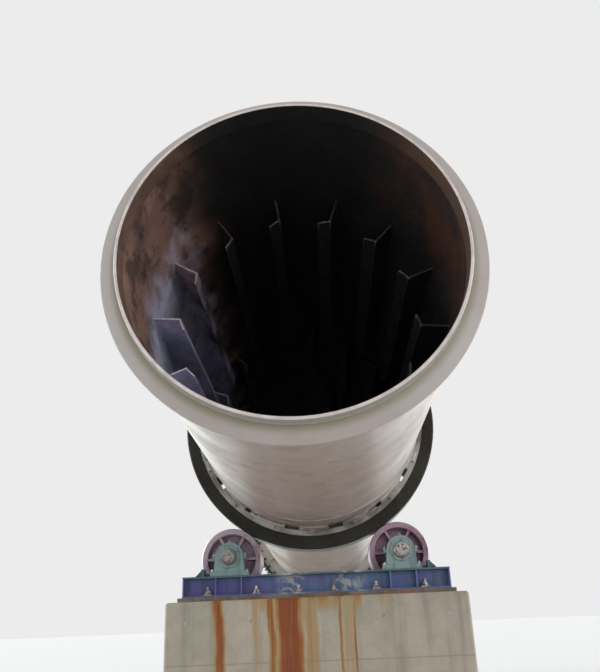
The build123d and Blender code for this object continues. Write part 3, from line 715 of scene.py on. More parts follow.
@dataclass(frozen=True)
class Bolt:
    """Hexagon bolt or nut on a washer, with the end of its thread.

    The thread's diameter and the root, by which the thread's end starts in the head, are lengths. All other
    sizes are shares of that diameter.
    """

    thread: float
    head: float = 0.7
    stub: float = 0.35
    washer: float = 0.2
    washer_radius: float = 1.0
    washer_bevel: Tuple[float, float] = (0.05, 0.04)
    corner_radius: float = 0.9
    thread_radius: float = 0.5
    bevel: float = 0.1
    root: float = 0.01

    def solid(self) -> Sheet:
        """Washer, hexagon with a turned-down edge, and thread end, each a solid turned about Z.

        Returns:
            The mesh, which stands on the origin.
        """
        top = self.washer + self.head
        parts = [(20, self.washer_radius, 0.0, self.washer, self.washer_bevel),
                 (6, self.corner_radius, self.washer - 0.01, top, (self.bevel, self.bevel)),
                 (12, self.thread_radius, top - self.root / self.thread, top + self.stub, (self.bevel, self.bevel))]
        solids = []
        for sides, radius, low, high, (draw, drop) in parts if self.stub else parts[:2]:
            profile = np.array([(radius, low), (radius, high - drop), (radius - draw, high)])
            solids.append(turned(profile * self.thread, sides))
        return Sheet.joined(solids)

    def on(self, places: Sequence[Any], directions: Sequence[Any]) -> Sheet:
        """A bolt on each place along each direction."""
        return self.solid().at(places, directions)


@dataclass
class Piece:
    """A new piece: its mesh, its finish, and the body that it rides on.

    The mesh is in drum coordinates where the piece slopes with the drum, or else in the floor's.
    """

    name: str
    sheet: Sheet
    material: Material
    slot: Finish
    body: str = Body.FOUNDATION.value
    sloping: bool = True

    def make(self) -> bpy.types.Object:
        """Put the mesh into the scene.

        Returns:
            The new object.
        """
        points = DRUM.to_floor(self.sheet.points) if self.sloping else self.sheet.points
        mesh = bpy.data.meshes.new(self.name)
        mesh.vertices.add(len(points))
        mesh.vertices.foreach_set("co", points.astype(np.float32).ravel())
        mesh.loops.add(len(self.sheet.corners))
        mesh.loops.foreach_set("vertex_index", self.sheet.corners.astype(np.int32))
        mesh.polygons.add(len(self.sheet.counts))
        starts = np.concatenate([[0], np.cumsum(self.sheet.counts)[:-1]])
        mesh.polygons.foreach_set("loop_start", starts.astype(np.int32))
        mesh.update(calc_edges=True)
        mesh.validate()
        mesh.set_sharp_from_angle(angle=SMOOTH_ANGLE)
        mesh.materials.append(self.material)
        piece = bpy.data.objects.new(self.name, mesh)
        bpy.context.scene.collection.objects.link(piece)
        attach(piece, self.body)
        return piece


@dataclass
class DrumWelds:
    """Weld beads of the drum: round its joints, along its courses, at the pads and the flights' feet."""

    course_names: Tuple[str, ...] = ("feed_shell", "front_tyre_course", "front_middle_shell",
                                     "rear_middle_shell", "rear_tyre_course", "discharge_shell")
    width: float = 0.024
    height: float = 0.0055
    fillet: float = 0.013
    mouth_fillet: float = 0.0104
    steps: int = 320
    seam_turn: float = 77.0  # degrees from one course's seam to the next
    seam_steps: int = 90
    pad_count: int = 16
    pad_arc: float = 14.6  # degrees along one weld
    pad_steps: int = 14
    flight_count: int = 14
    flight_bays: int = 6
    flight_start: float = 1.2
    flight_turn: float = 17.5  # degrees from the bottom to the first flight
    flight_gap: float = 0.060
    flight_half: float = 0.006
    foot_steps: int = 14
    foot_aside: float = 0.002
    foot_end: float = 0.010
    foot_width: float = 0.018
    foot_height: float = 0.008

    def joint(self, radius: float, place: float, height: float) -> Sheet:
        """Bead all round the drum."""
        return hoop(radius, place, around(self.steps), self.width, height, True)

    def courses(self) -> Sheet:
        """Beads between the courses and one seam along each course.

        Returns:
            The mesh.
        """
        reach = [DRUM.reach(name)[1] for name in self.course_names]
        ends = [[corner[1] for corner in DRUM.extent(name)] for name in self.course_names]
        sheets = [self.joint(reach[0], ends[0][0], self.fillet), self.joint(reach[-1], ends[-1][1], self.fillet)]
        for radius, after, (_, place) in zip(reach, reach[1:], ends):
            sheets.append(self.joint((radius + after) / 2, place, self.height + abs(radius - after) / 2))
        for i, (radius, (low, high)) in enumerate(zip(reach, ends), 1):
            out, _ = spoke(math.radians(self.seam_turn * i))
            path = out * radius + along(np.linspace(low + self.width, high - self.width, self.seam_steps))
            sheets.append(bead(path, out, self.width, self.height, False))
        return Sheet.joined(sheets)

    def mouths(self) -> Sheet:
        """Fillet between each lip tube and its dished flange."""
        places = both(END_PLACE - LIP_DEPTH)
        return Sheet.joined([self.joint(LIP_OUTER, place, self.mouth_fillet) for place in places])

    def pads(self, end: End) -> Sheet:
        """Fillets across both ends of each filler bar under a tyre.

        Args:
            end: The tyre's end of the drum.

        Returns:
            The mesh.
        """
        radius = DRUM.reach(end.value + "_tyre_course")[1]
        arc = np.radians(np.linspace(*both(self.pad_arc / 2), self.pad_steps))
        ends = [corner[1] for corner in DRUM.extent(end.value + "_tyre_pads")]
        return Sheet.joined([hoop(radius, place, middle + arc, 2 * self.fillet, self.fillet, False)
                             for middle in around(self.pad_count) for place in ends])

    def flights(self) -> Sheet:
        """Fillets on both sides of each lifting flight's foot, in bays that are set half a step apart.

        Returns:
            The mesh.
        """
        pitch = (2 * END_PLACE - 2 * self.flight_start + self.flight_gap) / self.flight_bays
        run = np.linspace(self.foot_end, pitch - self.flight_gap - self.foot_end, self.foot_steps)
        sheets = []
        for bay in range(self.flight_bays):
            path = along(run - END_PLACE + self.flight_start + bay * pitch)
            for i in range(self.flight_count):
                step = 360.0 / self.flight_count * (i + 0.5 * (bay % 2))
                out, across = spoke(math.radians(-90.0 - self.flight_turn - step))
                for aside in both(self.flight_half + self.foot_aside):
                    foot = out * (SHELL_INNER - SUNK) + across * aside
                    sheets.append(bead(foot + path, -out, self.foot_width, self.foot_height, False, 6))
        return Sheet.joined(sheets)

    def pieces(self, paints: Paints) -> Iterator[Piece]:
        """All the beads of the drum, in the finishes of the steel that they join.

        Args:
            paints: The dryer's finishes.

        Returns:
            The pieces in order.
        """
        drum = Body.DRUM.value
        yield Piece("shell_welds", self.courses(), paints.shell, Finish.SHELL, drum)
        yield Piece("mouth_welds", self.mouths(), paints.ring, Finish.SHELL, drum)
        yield Piece("flight_welds", self.flights(), paints.flight, Finish.FLIGHT, drum)
        for end in End:
            yield Piece(end.value + "_pad_welds", self.pads(end), paints.shell, Finish.PAD, drum)


@dataclass
class GearFasteners:
    """Bolts of the girth gear: round its flange, and across the joints of its segments."""

    count: int = 48
    joints: int = 4
    flange_bolt: Bolt = Bolt(0.030)
    joint_bolt: Bolt = Bolt(0.022)
    circle_from_bore: float = 0.032
    flange_plate: float = 0.036
    carrier_plate: float = 0.0303
    joint_plate: float = 0.034
    joint_circle: float = 0.038

    def bolts(self) -> Sheet:
        """Heads and nuts of the flange bolts, and the bolts of the joint plates.

        Returns:
            The mesh.
        """
        bore = DRUM.reach("girth_gear")[0]
        low, high = (corner[1] for corner in DRUM.extent("girth_gear"))
        middle = (low + high) / 2
        face = middle + self.flange_plate
        radius, angles = bore + self.circle_from_bore, around(self.count, math.pi / self.count)
        sheets = [self.flange_bolt.on(ring_y(radius, face, angles), TO_DISCHARGE),
                  self.flange_bolt.on(ring_y(radius, middle - self.carrier_plate, angles), TO_FEED)]
        for angle in around(self.joints):
            out, across = spoke(angle)
            for way in (-across, across):
                spot = out * (bore + self.joint_circle) + way * self.joint_plate + along([(face + high) / 2])
                sheets.append(self.joint_bolt.on(spot, way))
        return Sheet.joined(sheets)

    def pieces(self, paints: Paints) -> Iterator[Piece]:
        """The gear's bolts."""
        yield Piece("gear_bolts", self.bolts(), paints.rusty, Finish.GEAR, Body.DRUM.value)


@dataclass(frozen=True)
class PillowBlock:
    """Bolts, covers and grease nipples of a split pillow block, about its shaft's axis at the block's middle."""

    width: float
    centre_height: float
    cap_radius: float
    shaft_radius: float
    boss_radius: float
    foot_half: float
    foot_height: float = 0.046
    foot_inset: float = 0.024
    foot_row: float = 0.30
    lug_reach: float = 0.028
    lug_half: float = 0.020
    lug_row: float = 0.13
    cap_bolt: Bolt = Bolt(0.018)
    foot_bolt: Bolt = Bolt(0.022)
    screw: Bolt = Bolt(0.008, 0.6, 0.0)
    screws: int = 6
    cover_plate: float = 0.008
    cover_edge: float = 0.002
    running_gap: float = 0.004
    nipple: Profile = ((0.009, 0.0), (0.009, 0.008), (0.005, 0.010), (0.005, 0.018), (0.0065, 0.021), (0.003, 0.027))

    def bolts(self) -> Sheet:
        """Bolts of the cap and of the foot.

        Returns:
            The mesh.
        """
        cap = every(both(self.cap_radius + self.lug_reach / 2), both(self.width * self.lug_row), (self.lug_half,))
        foot = every(both(self.foot_half - self.foot_inset), both(self.width * self.foot_row),
                     (self.foot_height - self.centre_height,))
        return Sheet.joined([self.cap_bolt.on(cap, UP), self.foot_bolt.on(foot, UP)])

    def covers(self) -> Sheet:
        """Bolted cover ring on both faces, and two grease nipples on the cap.

        Returns:
            The mesh.
        """
        t, e = self.cover_plate, self.cover_edge
        inner, outer = self.shaft_radius + self.running_gap, self.boss_radius - e
        ring = turned([(inner, 0.0), (outer, 0.0), (outer, t - e), (outer - e, t), (inner, t)], 48, ring=True)
        spots = ring_z((inner + outer) / 2, t, around(self.screws, math.pi / self.screws))
        cover = Sheet.joined([ring, self.screw.on(spots, UP)])
        tops = every((0.0,), both(self.width * self.foot_row), (self.cap_radius - SUNK,))
        return Sheet.joined([cover.at(along(both(self.width / 2)), (TO_FEED, TO_DISCHARGE)),
                             turned(self.nipple, 10).at(tops, UP)])

    def pieces(self, name: str, axes: np.ndarray, steel: Material, paint: Material) -> Iterator[Piece]:
        """Fasteners of the blocks of one shaft.

        Args:
            name: Words that the pieces' names start with.
            axes: Point on the shaft's axis at each block's middle.
            steel: Finish of the bolts.
            paint: Finish of the covers.

        Returns:
            The bolts, then the covers.
        """
        for kind, sheet, finish in (("bolts", self.bolts(), steel), ("covers", self.covers(), paint)):
            yield Piece(f"{name}_bearing_{kind}", sheet.to(axes), finish, Finish.BEARING)


@dataclass
class SupportStation:
    """Fasteners of one tyre's support: bearings, shafts, anchor bolts and tie-hole plugs."""

    end: End
    block: PillowBlock = PillowBlock(width=0.150, centre_height=0.190, cap_radius=0.148, shaft_radius=0.080,
                                     boss_radius=0.114, foot_half=0.200)
    spacing: float = 0.320
    shaft_end: float = 0.423
    plate_radius: float = 0.058
    plate: float = 0.010
    plate_edge: float = 0.002
    plate_bolt: Bolt = Bolt(0.014, 0.65, 0.0)
    plate_bolts: int = 3
    plate_circle: float = 0.58
    anchor: Bolt = Bolt(0.034, 0.8, 1.1)
    anchor_places: Tuple[float, ...] = (-1.12, -0.62, -0.18, 0.18, 0.62, 1.12)
    anchor_side: float = 0.060
    flange: float = 0.018
    washer_half: float = 0.046
    washer: float = 0.012
    washer_edge: float = 0.002
    plug: Profile = ((0.017, -0.004), (0.017, 0.0), (0.014, 0.0015))
    tie_places: Tuple[float, ...] = (-1.31, -0.655, 0.0, 0.655, 1.31)
    tie_drops: Tuple[float, ...] = (0.20, 0.82, 1.44)
    lowest_tie: float = 0.05

    def shaft_plates(self) -> Sheet:
        """Keep plate with three bolts on both ends of a shaft, about its middle.

        Returns:
            The mesh.
        """
        r, t = self.plate_radius, self.plate
        disc = turned([(r, 0.0), (r, t - self.plate_edge), (r - self.plate_edge, t)], 40)
        bolts = self.plate_bolt.on(ring_z(r * self.plate_circle, t, around(self.plate_bolts)), UP)
        return Sheet.joined([disc, bolts]).at(along(both(self.shaft_end)), (TO_FEED, TO_DISCHARGE))

    def anchors(self) -> Sheet:
        """Anchor bolts with square plates on the lower flanges of both beams.

        Returns:
            The mesh.
        """
        low, _ = DRUM.extent(self.end.value + "_base_frame")
        place = SupportRoller(self.end, Side.LEFT).middle()[1]
        rows = [row for beam in both(self.spacing, place) for row in both(self.anchor_side, beam)]
        spots = every(self.anchor_places, rows, (low[2] + self.flange,))
        h = self.washer_half
        square = block((-h, -h, 0.0), (h, h, self.washer), self.washer_edge).to(spots)
        return Sheet.joined([square, self.anchor.on(spots + (0.0, 0.0, self.washer), UP)])

    def plugs(self) -> Sheet:
        """Mortar plugs of the form ties on both long faces of the pier, in the floor's coordinates.

        Returns:
            The mesh.
        """
        low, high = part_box(self.end.value + "_pier")
        heights = [high.z - drop for drop in self.tie_drops if high.z - drop > self.lowest_tie]
        front, back = (every(self.tie_places, (y,), heights) for y in (low.y, high.y))
        ways = np.repeat((TO_FEED, TO_DISCHARGE), len(front), 0)
        return turned(self.plug, 20).at(np.concatenate([front, back]), ways)

    def pieces(self, paints: Paints) -> Iterator[Piece]:
        """Pieces on the bearings, the shafts, the base frame and the pier.

        Args:
            paints: The dryer's finishes.

        Returns:
            The pieces in order.
        """
        end = self.end.value
        steel = paints.plated if self.end is End.FRONT else paints.rusty
        for side in Side:
            roller = SupportRoller(self.end, side)
            middle = roller.middle()
            yield from self.block.pieces(roller.place, middle + along(both(self.spacing)), steel, paints.bearing)
            yield Piece(roller.place + "_shaft_plates", self.shaft_plates().to(middle), steel, Finish.SHAFT,
                        roller.body)
        yield Piece(end + "_anchor_bolts", self.anchors(), steel, Finish.FRAME)
        yield Piece(end + "_tie_plugs", self.plugs(), paints.mortar, Finish.CONCRETE, sloping=False)


@dataclass
class ThrustRollers:
    """Pin nuts and foot welds of the two thrust rollers."""

    nut: Bolt = Bolt(0.040, 0.7, 0.4)
    base_radius: float = 0.098
    fillet: float = 0.010
    steps: int = 48

    def pieces(self, paints: Paints) -> Iterator[Piece]:
        """The nuts on the pins, and the welds round the pots.

        Args:
            paints: The dryer's finishes.

        Returns:
            The pieces in order.
        """
        low, high = DRUM.extent("thrust_housings")
        spots = along((low[1] + self.base_radius, high[1] - self.base_radius))
        yield Piece("thrust_nuts", self.nut.on(spots + (0.0, 0.0, high[2]), UP), paints.plated, Finish.SHAFT)
        foot, out = (ring_z(radius, 0.0, around(self.steps)) for radius in (self.base_radius, 1.0))
        welds = [bead(spot + (0.0, 0.0, low[2]) + foot, out, 2 * self.fillet, self.fillet, True, 6) for spot in spots]
        yield Piece("thrust_welds", Sheet.joined(welds), paints.frame, Finish.FRAME)


@dataclass
class GearGuard:
    """Screws of the sheet guard over the pinion."""

    screw: Bolt = Bolt(0.010, 0.6, 0.0)
    half: float = 0.285
    high: float = 0.250  # from the pinion's axis to the top edge
    foot: float = 0.060  # from the lowest edge to the lowest row
    inset: float = 0.022
    first: float = 0.05  # from a corner to the first screw
    last: float = 0.04  # least from the last screw to the next corner
    pitch: float = 0.095
    sheet: float = 0.008
    gear_gap: float = 0.054  # from the carrier's rim to the nearest screw

    def screws(self, axis: np.ndarray) -> Sheet:
        """Screws along the edges of both side sheets, where the gear's opening leaves sheet.

        Args:
            axis: Point on the pinion shaft's axis at the gear's middle.

        Returns:
            The mesh.
        """
        low, high = DRUM.extent("gear_guard")
        left, right = both(self.half - self.inset, axis[0])
        foot, top = low[2] + self.foot, axis[2] + self.high - self.inset
        x, z = (np.arange(start + self.first, end - self.last, self.pitch)
                for start, end in ((left, right), (foot, top)))
        edge = np.concatenate([every(x, (0.0,), (top,)), every(x, (0.0,), (foot,)),
                               every((left,), (0.0,), z), every((right,), (0.0,), z)])
        edge = edge[np.hypot(edge[:, 0], edge[:, 2]) > DRUM.reach("gear_carrier")[1] + self.gear_gap]
        return Sheet.joined([self.screw.on(edge + along([low[1] + self.sheet]), TO_FEED),
                             self.screw.on(edge + along([high[1] - self.sheet]), TO_DISCHARGE)])


@dataclass
class Gearbox:
    """Bolts and fittings of the gearbox, about the middle of its shaft's axis."""

    half: float = 0.220
    top: float = 0.205
    length: float = 0.560
    foot: float = 0.290
    rows: int = 6
    row_inset: float = 0.05
    lid: float = 0.018
    split_bolt: Bolt = Bolt(0.016, 0.7, 0.3)
    split_place: Tuple[float, float] = (0.004, 0.015)  # out from the side, up from the axis
    foot_bolt: Bolt = Bolt(0.026)
    foot_place: Tuple[float, float] = (0.036, 0.030)  # out from the side, up from the base
    lid_screw: Bolt = Bolt(0.012, 0.65, 0.0)
    lid_side: float = 0.103
    lid_rows: Tuple[float, ...] = (-0.143, -0.048, 0.048, 0.143)
    eye: Tuple[float, float] = (0.030, 0.0075)  # radius of the ring and of its rod
    eye_inset: float = 0.06
    breather: Profile = ((0.012, 0.0), (0.012, 0.030), (0.026, 0.034), (0.026, 0.060), (0.020, 0.068))
    breather_place: Tuple[float, float] = (0.045, 0.06)  # across and along from the middle
    drain: Profile = ((0.022, 0.0), (0.022, 0.008), (0.016, 0.0081), (0.016, 0.020), (0.013, 0.023))
    drain_place: Tuple[float, float] = (-0.10, 0.075)  # along from the middle, up from the base
    sight: Profile = ((0.030, 0.0), (0.030, 0.010), (0.026, 0.013), (0.020, 0.013), (0.019, 0.010), (0.008, 0.012))
    sight_place: Tuple[float, float] = (0.10, -0.10)  # along from the middle, up from the axis

    def bolts(self) -> Sheet:
        """Bolts of the split flange, the feet and the inspection cover.

        Returns:
            The mesh.
        """
        rows = np.linspace(*both(self.length / 2 - self.row_inset), self.rows)
        split = every(both(self.half + self.split_place[0]), rows, (self.split_place[1],))
        foot = every(both(self.half + self.foot_place[0]), rows[[0, 2, 3, 5]], (self.foot_place[1] - self.foot,))
        lid = (self.top + self.lid,)
        cover = np.concatenate([every(both(self.lid_side), self.lid_rows, lid),
                                every((0.0,), self.lid_rows[::3], lid)])
        return Sheet.joined([self.split_bolt.on(split, UP), self.foot_bolt.on(foot, UP),
                             self.lid_screw.on(cover, UP)])

    def fittings(self) -> Sheet:
        """Breather on the cover, two lifting eyes on the lid and a drain plug low on the outer side.

        Returns:
            The mesh.
        """
        eyes = every((0.0,), both(self.length / 2 - self.eye_inset), (self.top,))
        drain = (self.half - SUNK, self.drain_place[0], self.drain_place[1] - self.foot)
        breather = (*self.breather_place, self.top + self.lid)
        return Sheet.joined([turned(self.breather, 20).to(breather), lifting_eyes(eyes, *self.eye),
                             turned(self.drain, 6).at(drain, TO_RIGHT)])

    def oil_sight(self) -> Sheet:
        """Round oil sight on the outer side."""
        return turned(self.sight, 28).at((self.half - SUNK, *self.sight_place), TO_RIGHT)


@dataclass
class Motor:
    """Fittings of the motor, about its shaft's axis: its eye, terminal box, flange bolts and fan grille."""

    radius: float = 0.172
    tip: float = 0.200
    flange: float = 0.036
    cowl: float = 0.150
    eye: Tuple[float, float] = (0.034, 0.009)  # radius of the ring and of its rod
    box_half: Tuple[float, float] = (0.078, 0.063)
    box_plate: float = 0.006
    box_edge: float = 0.002
    box_screw: Bolt = Bolt(0.007, 0.6, 0.0)
    box_screws: Tuple[float, float] = (0.064, 0.050)
    gland: Profile = ((0.020, 0.0), (0.020, 0.014), (0.016, 0.016), (0.016, 0.034), (0.011, 0.040))
    gland_place: Tuple[float, float, float] = (-0.050, 0.04, -0.085)  # out, half apart, up from the axis
    flange_bolt: Bolt = Bolt(0.014, 0.65, 0.0)
    flange_bolts: int = 8
    flange_inset: float = 0.016
    inlet_radius: float = 0.128
    inlet_depth: float = 0.006
    wire: float = 0.0028
    wires: Tuple[float, float, int] = (0.025, 0.124, 7)  # least and greatest radius, and number
    spokes: int = 6
    spoke_start: float = 0.02
    spoke_edge: float = 0.0006
    hub: Profile = ((0.028, -0.006), (0.028, 0.001), (0.022, 0.003))

    def fittings(self, axis: np.ndarray) -> Sheet:
        """Lifting eye, cover plate of the terminal box with its screws, glands and flange bolts.

        Args:
            axis: Point on the shaft's axis.

        Returns:
            The mesh.
        """
        (_, low, _), (side, high, _) = DRUM.extent("drive_motor")
        x, z = axis[0], axis[2]
        y = (low + self.cowl + high - self.flange) / 2
        (left, bottom), (right, top) = ((y + way * self.box_half[0], z + way * self.box_half[1]) for way in (-1, 1))
        plate = block((side - SUNK, left, bottom), (side + self.box_plate, right, top), self.box_edge)
        screws = every((side + self.box_plate,), both(self.box_screws[0], y), both(self.box_screws[1], z))
        glands = every((side + self.gland_place[0],), both(self.gland_place[1], y), (z + self.gland_place[2],))
        angles = around(self.flange_bolts, math.pi / self.flange_bolts)
        ring = ring_y(self.tip - self.flange_inset, high - self.flange, angles) + (x, 0.0, z)
        return Sheet.joined([lifting_eyes((x, y, z + self.radius), *self.eye), plate,
                             self.box_screw.on(screws, TO_RIGHT), turned(self.gland, 6).at(glands, DOWN),
                             self.flange_bolt.on(ring, TO_FEED)])

    def grille(self, axis: np.ndarray) -> Sheet:
        """Wire rings, spokes and a hub over the air inlet.

        Args:
            axis: Point on the shaft's axis.

        Returns:
            The mesh.
        """
        rings = [torus(radius, self.wire, 8, 48) for radius in np.linspace(*self.wires)]
        bar = block((self.spoke_start, -self.wire, -self.wire * 1.6),
                    (self.inlet_radius, self.wire, self.wire * 0.2), self.spoke_edge)
        turns = np.array([Matrix.Rotation(turn, 4, "Z") for turn in around(self.spokes)])
        grille = Sheet.joined([*rings, bar.repeated(turns), turned(self.hub, 24)])
        place = DRUM.extent("drive_motor")[0][1] + self.inlet_depth
        return grille.at((axis[0], place, axis[2]), TO_FEED)


@dataclass
class DriveTrain:
    """Fasteners and fittings of the drive: pinion bearings, guard, coupling, gearbox, motor and frame."""

    block: PillowBlock = PillowBlock(width=0.120, centre_height=0.180, cap_radius=0.115, shaft_radius=0.060,
                                     boss_radius=0.0875, foot_half=0.165)
    bearing_spacing: float = 0.250
    coupling_bolt: Bolt = Bolt(0.018, 0.8, 0.3)
    coupling_circle: float = 0.124
    coupling_disc: float = 0.042
    coupling_pins: int = 8
    box_gap: float = 0.034
    frame_half: float = 0.235
    frame_flange: float = 0.014
    anchor: Bolt = Bolt(0.026, 0.8, 0.9)
    anchor_inset: float = 0.052
    anchor_places: Tuple[float, ...] = (-1.57, -1.29, -0.87, -0.42, 0.0, 0.31)
    guard: GearGuard = field(default_factory=GearGuard)
    gearbox: Gearbox = field(default_factory=Gearbox)
    motor: Motor = field(default_factory=Motor)

    def axis(self) -> np.ndarray:
        """Point on the pinion shaft's axis at the gear's middle."""
        shaft, gear = (sum(DRUM.extent(node)) / 2 for node in ("pinion_shaft", "girth_gear"))
        return np.array([shaft[0], gear[1], shaft[2]])

    def coupling_bolts(self, axis: np.ndarray) -> Sheet:
        """Bolts round the outer faces of both coupling discs.

        Args:
            axis: Point on the shaft's axis.

        Returns:
            The mesh.
        """
        low, high = DRUM.extent("drive_coupling")
        faces = both(self.coupling_disc, (low[1] + high[1]) / 2)
        spots = ring_y(self.coupling_circle, 0.0, around(self.coupling_pins)) + (axis[0], 0.0, axis[2])
        return Sheet.joined([self.coupling_bolt.on(spots + along([place]), way)
                             for place, way in zip(faces, (TO_FEED, TO_DISCHARGE))])

    def anchors(self, axis: np.ndarray) -> Sheet:
        """Anchor bolts inside the channels of the drive frame.

        Args:
            axis: Point on the pinion shaft's axis at the gear's middle.

        Returns:
            The mesh.
        """
        low, _ = DRUM.extent("drive_frame")
        spots = every(both(self.frame_half - self.anchor_inset), self.anchor_places, (0.0,))
        return self.anchor.on(spots + (axis[0], axis[1], low[2] + self.frame_flange), UP)

    def pieces(self, paints: Paints) -> Iterator[Piece]:
        """Pieces on the drive, from the pinion's bearings to the frame's anchor bolts.

        Args:
            paints: The dryer's finishes.

        Returns:
            The pieces in order.
        """
        axis, steel, paint = self.axis(), paints.plated, paints.drive
        box_end = DRUM.extent("drive_coupling")[0][1] - self.box_gap
        box = np.array([axis[0], box_end - self.gearbox.length / 2, axis[2]])
        yield from self.block.pieces("pinion", axis + along(both(self.bearing_spacing)), steel, paint)
        yield Piece("guard_screws", self.guard.screws(axis), steel, Finish.FRAME)
        yield Piece("coupling_bolts", self.coupling_bolts(axis), steel, Finish.SHAFT)
        yield Piece("gearbox_bolts", self.gearbox.bolts().to(box), steel, Finish.DRIVE)
        yield Piece("gearbox_fittings", self.gearbox.fittings().to(box), paint, Finish.DRIVE)
        yield Piece("gearbox_oil_sight", self.gearbox.oil_sight().to(box), paints.glass, Finish.DRIVE)
        yield Piece("motor_fittings", self.motor.fittings(axis), paint, Finish.DRIVE)
        yield Piece("motor_fan_grille", self.motor.grille(axis), paints.black, Finish.DRIVE)
        yield Piece("drive_anchor_bolts", self.anchors(axis), steel, Finish.FRAME)


@dataclass(frozen=True)
class OutsidePaint:
    """Warm grey-white paint of the drum's outside, greasy near the tyres and rusty where it is scuffed, with painted
    shade and dirt that tint its underside darker and browner.
    """

    paint: Triple = (0.47, 0.44, 0.395)
    shade: Triple = (0.33, 0.30, 0.26)
    tint: Triple = (0.30, 0.215, 0.18)
    grease: Triple = (0.05, 0.048, 0.045)
    rust: Triple = (0.17, 0.062, 0.028)
    broad: Grain = Grain(0.7, 3.0, 0.5, (0.40, 0.66))
    rings: Grain = Grain(1.0, 5.0, 0.6, (0.46, 0.72), (0.5, 9.0, 0.5))
    mottle: Grain = Grain(5.0, 6.0, 0.62, (0.42, 0.70))
    drips: Grain = Grain(1.6, 5.0, 0.6, (0.47, 0.60), (1.0, 2.6, 1.0))
    scuffs: Grain = Grain(3.2, 8.0, 0.7, (0.655, 0.70), (1.0, 3.0, 1.0))
    fine: Grain = Grain(60.0, 3.0, 0.5)
    specks: float = 14.0

    def surface(self, bench: Bench, place: Wire) -> Wires:
        """Look of the paint.

        Args:
            bench: Bench that takes the nodes.
            place: Position in drum coordinates.

        Returns:
            Its colour, roughness and height.
        """
        _, y, z = bench.parts(place)
        broad, mottle = bench.grain(place, self.broad), bench.grain(place, self.mottle)
        # painted shade, with some dirt: the underside is tinted darker and browner
        under = (-z + (broad - 0.5) * 0.2).rise(0.70, 1.20)
        greasy = abs(abs(y) - TYRE_PLACE).rise(0.78, 0.20) * bench.grain(place, self.drips)
        specks = bench.cells(place, self.specks).rise(0.13, 0.05) * broad
        rusty = bench.grain(place, self.scuffs).larger(specks * 0.8)
        colour = bench.coats(
            self.paint,
            (self.shade, broad * 0.55 + bench.grain(place, self.rings) * 0.28),
            (self.tint, mottle * broad * 0.45),
            (self.tint, under * (0.52 + mottle * 0.34)),
            (self.grease, greasy * 0.75),
            (self.rust, rusty * 0.8))
        rough = 0.30 + broad * 0.14 + mottle * 0.10 + rusty * 0.3 - greasy * 0.06
        return colour, rough, bench.grain(place, self.fine) * 0.25 + broad * 0.5 - rusty * 0.4


@dataclass(frozen=True)
class InsideRust:
    """Dark rust of the drum's inside, with painted light on its left wall, where a brown wash and blue-grey dust low
    down stand partly for the light falling there, and painted shade that turns the top near-black.
    """

    dark: Triple = (0.012, 0.011, 0.012)
    # near-black colour of the painted shade at the top of the inside
    shade_black: Triple = (0.0025, 0.0025, 0.0022)
    rust: Triple = (0.075, 0.026, 0.013)
    # rust-brown that also paints the light on the left wall
    brown: Triple = (0.38, 0.22, 0.17)
    # pale lilac of dust and of painted light low on the left wall
    dust: Triple = (0.74, 0.70, 0.90)
    # teal patches over the lilac, which follow the same painted light
    teal: Triple = (0.10, 0.26, 0.34)
    broad: Grain = Grain(1.1, 4.0, 0.6, (0.38, 0.64))
    patches: Grain = Grain(4.5, 6.0, 0.65, (0.46, 0.62), (1.0, 0.6, 1.0))
    wander: Grain = Grain(1.6, 4.0, 0.6)
    streaks: Grain = Grain(2.2, 7.0, 0.68, stretch=(1.0, 0.45, 1.0))
    grit: Grain = Grain(40.0, 4.0, 0.6)

    def surface(self, bench: Bench, place: Wire) -> Wires:
        """Look of the rust and the dust, with painted light on the left wall and painted shade at the top.

        Args:
            bench: Bench that takes the nodes.
            place: Position in drum coordinates.

        Returns:
            Its colour, roughness and height.
        """
        x, y, z = bench.parts(place)
        depth = END_PLACE - abs(y)
        broad, patches = bench.grain(place, self.broad), bench.grain(place, self.patches)
        wander = (bench.grain(place, self.wander) - 0.5) * 0.9
        broken = (bench.grain(place, self.streaks) - 0.5) * 1.1
        rusty = broad * (abs(x) + wander).rise(0.25, 0.85) * (0.3 + depth.rise(1.6, 0.6))
        # painted light: the left wall gets a brown wash, partly rust and partly the light falling on it
        left = (-x + wander).rise(0.55, 1.10)
        # painted light: pale lilac low on the left wall from about a metre in, partly dust and partly the light from
        # the mouth
        dust_and_wall_light = (wander * 0.5 - x - z * 0.45 + broken).rise(0.48, 0.86) * (depth + broken).rise(0.80, 1.28)
        # painted shade: near-black towards the top of the inside
        overhead_shade = (z + wander * 0.4).rise(0.25, 0.85) * abs(x).rise(0.95, 0.45)
        colour = bench.coats(
            self.dark,
            (self.rust, rusty),
            (self.brown, left * (0.35 + broad * 0.65)),
            (self.dust, dust_and_wall_light * (0.6 + broad * 0.4)),
            (self.teal, dust_and_wall_light * patches * 0.5),
            (self.dark, patches * (1.0 - dust_and_wall_light) * 0.7),
            (self.shade_black, overhead_shade))
        return colour, 0.72 + patches * 0.2, patches * 0.6 + bench.grain(place, self.grit) * 0.4


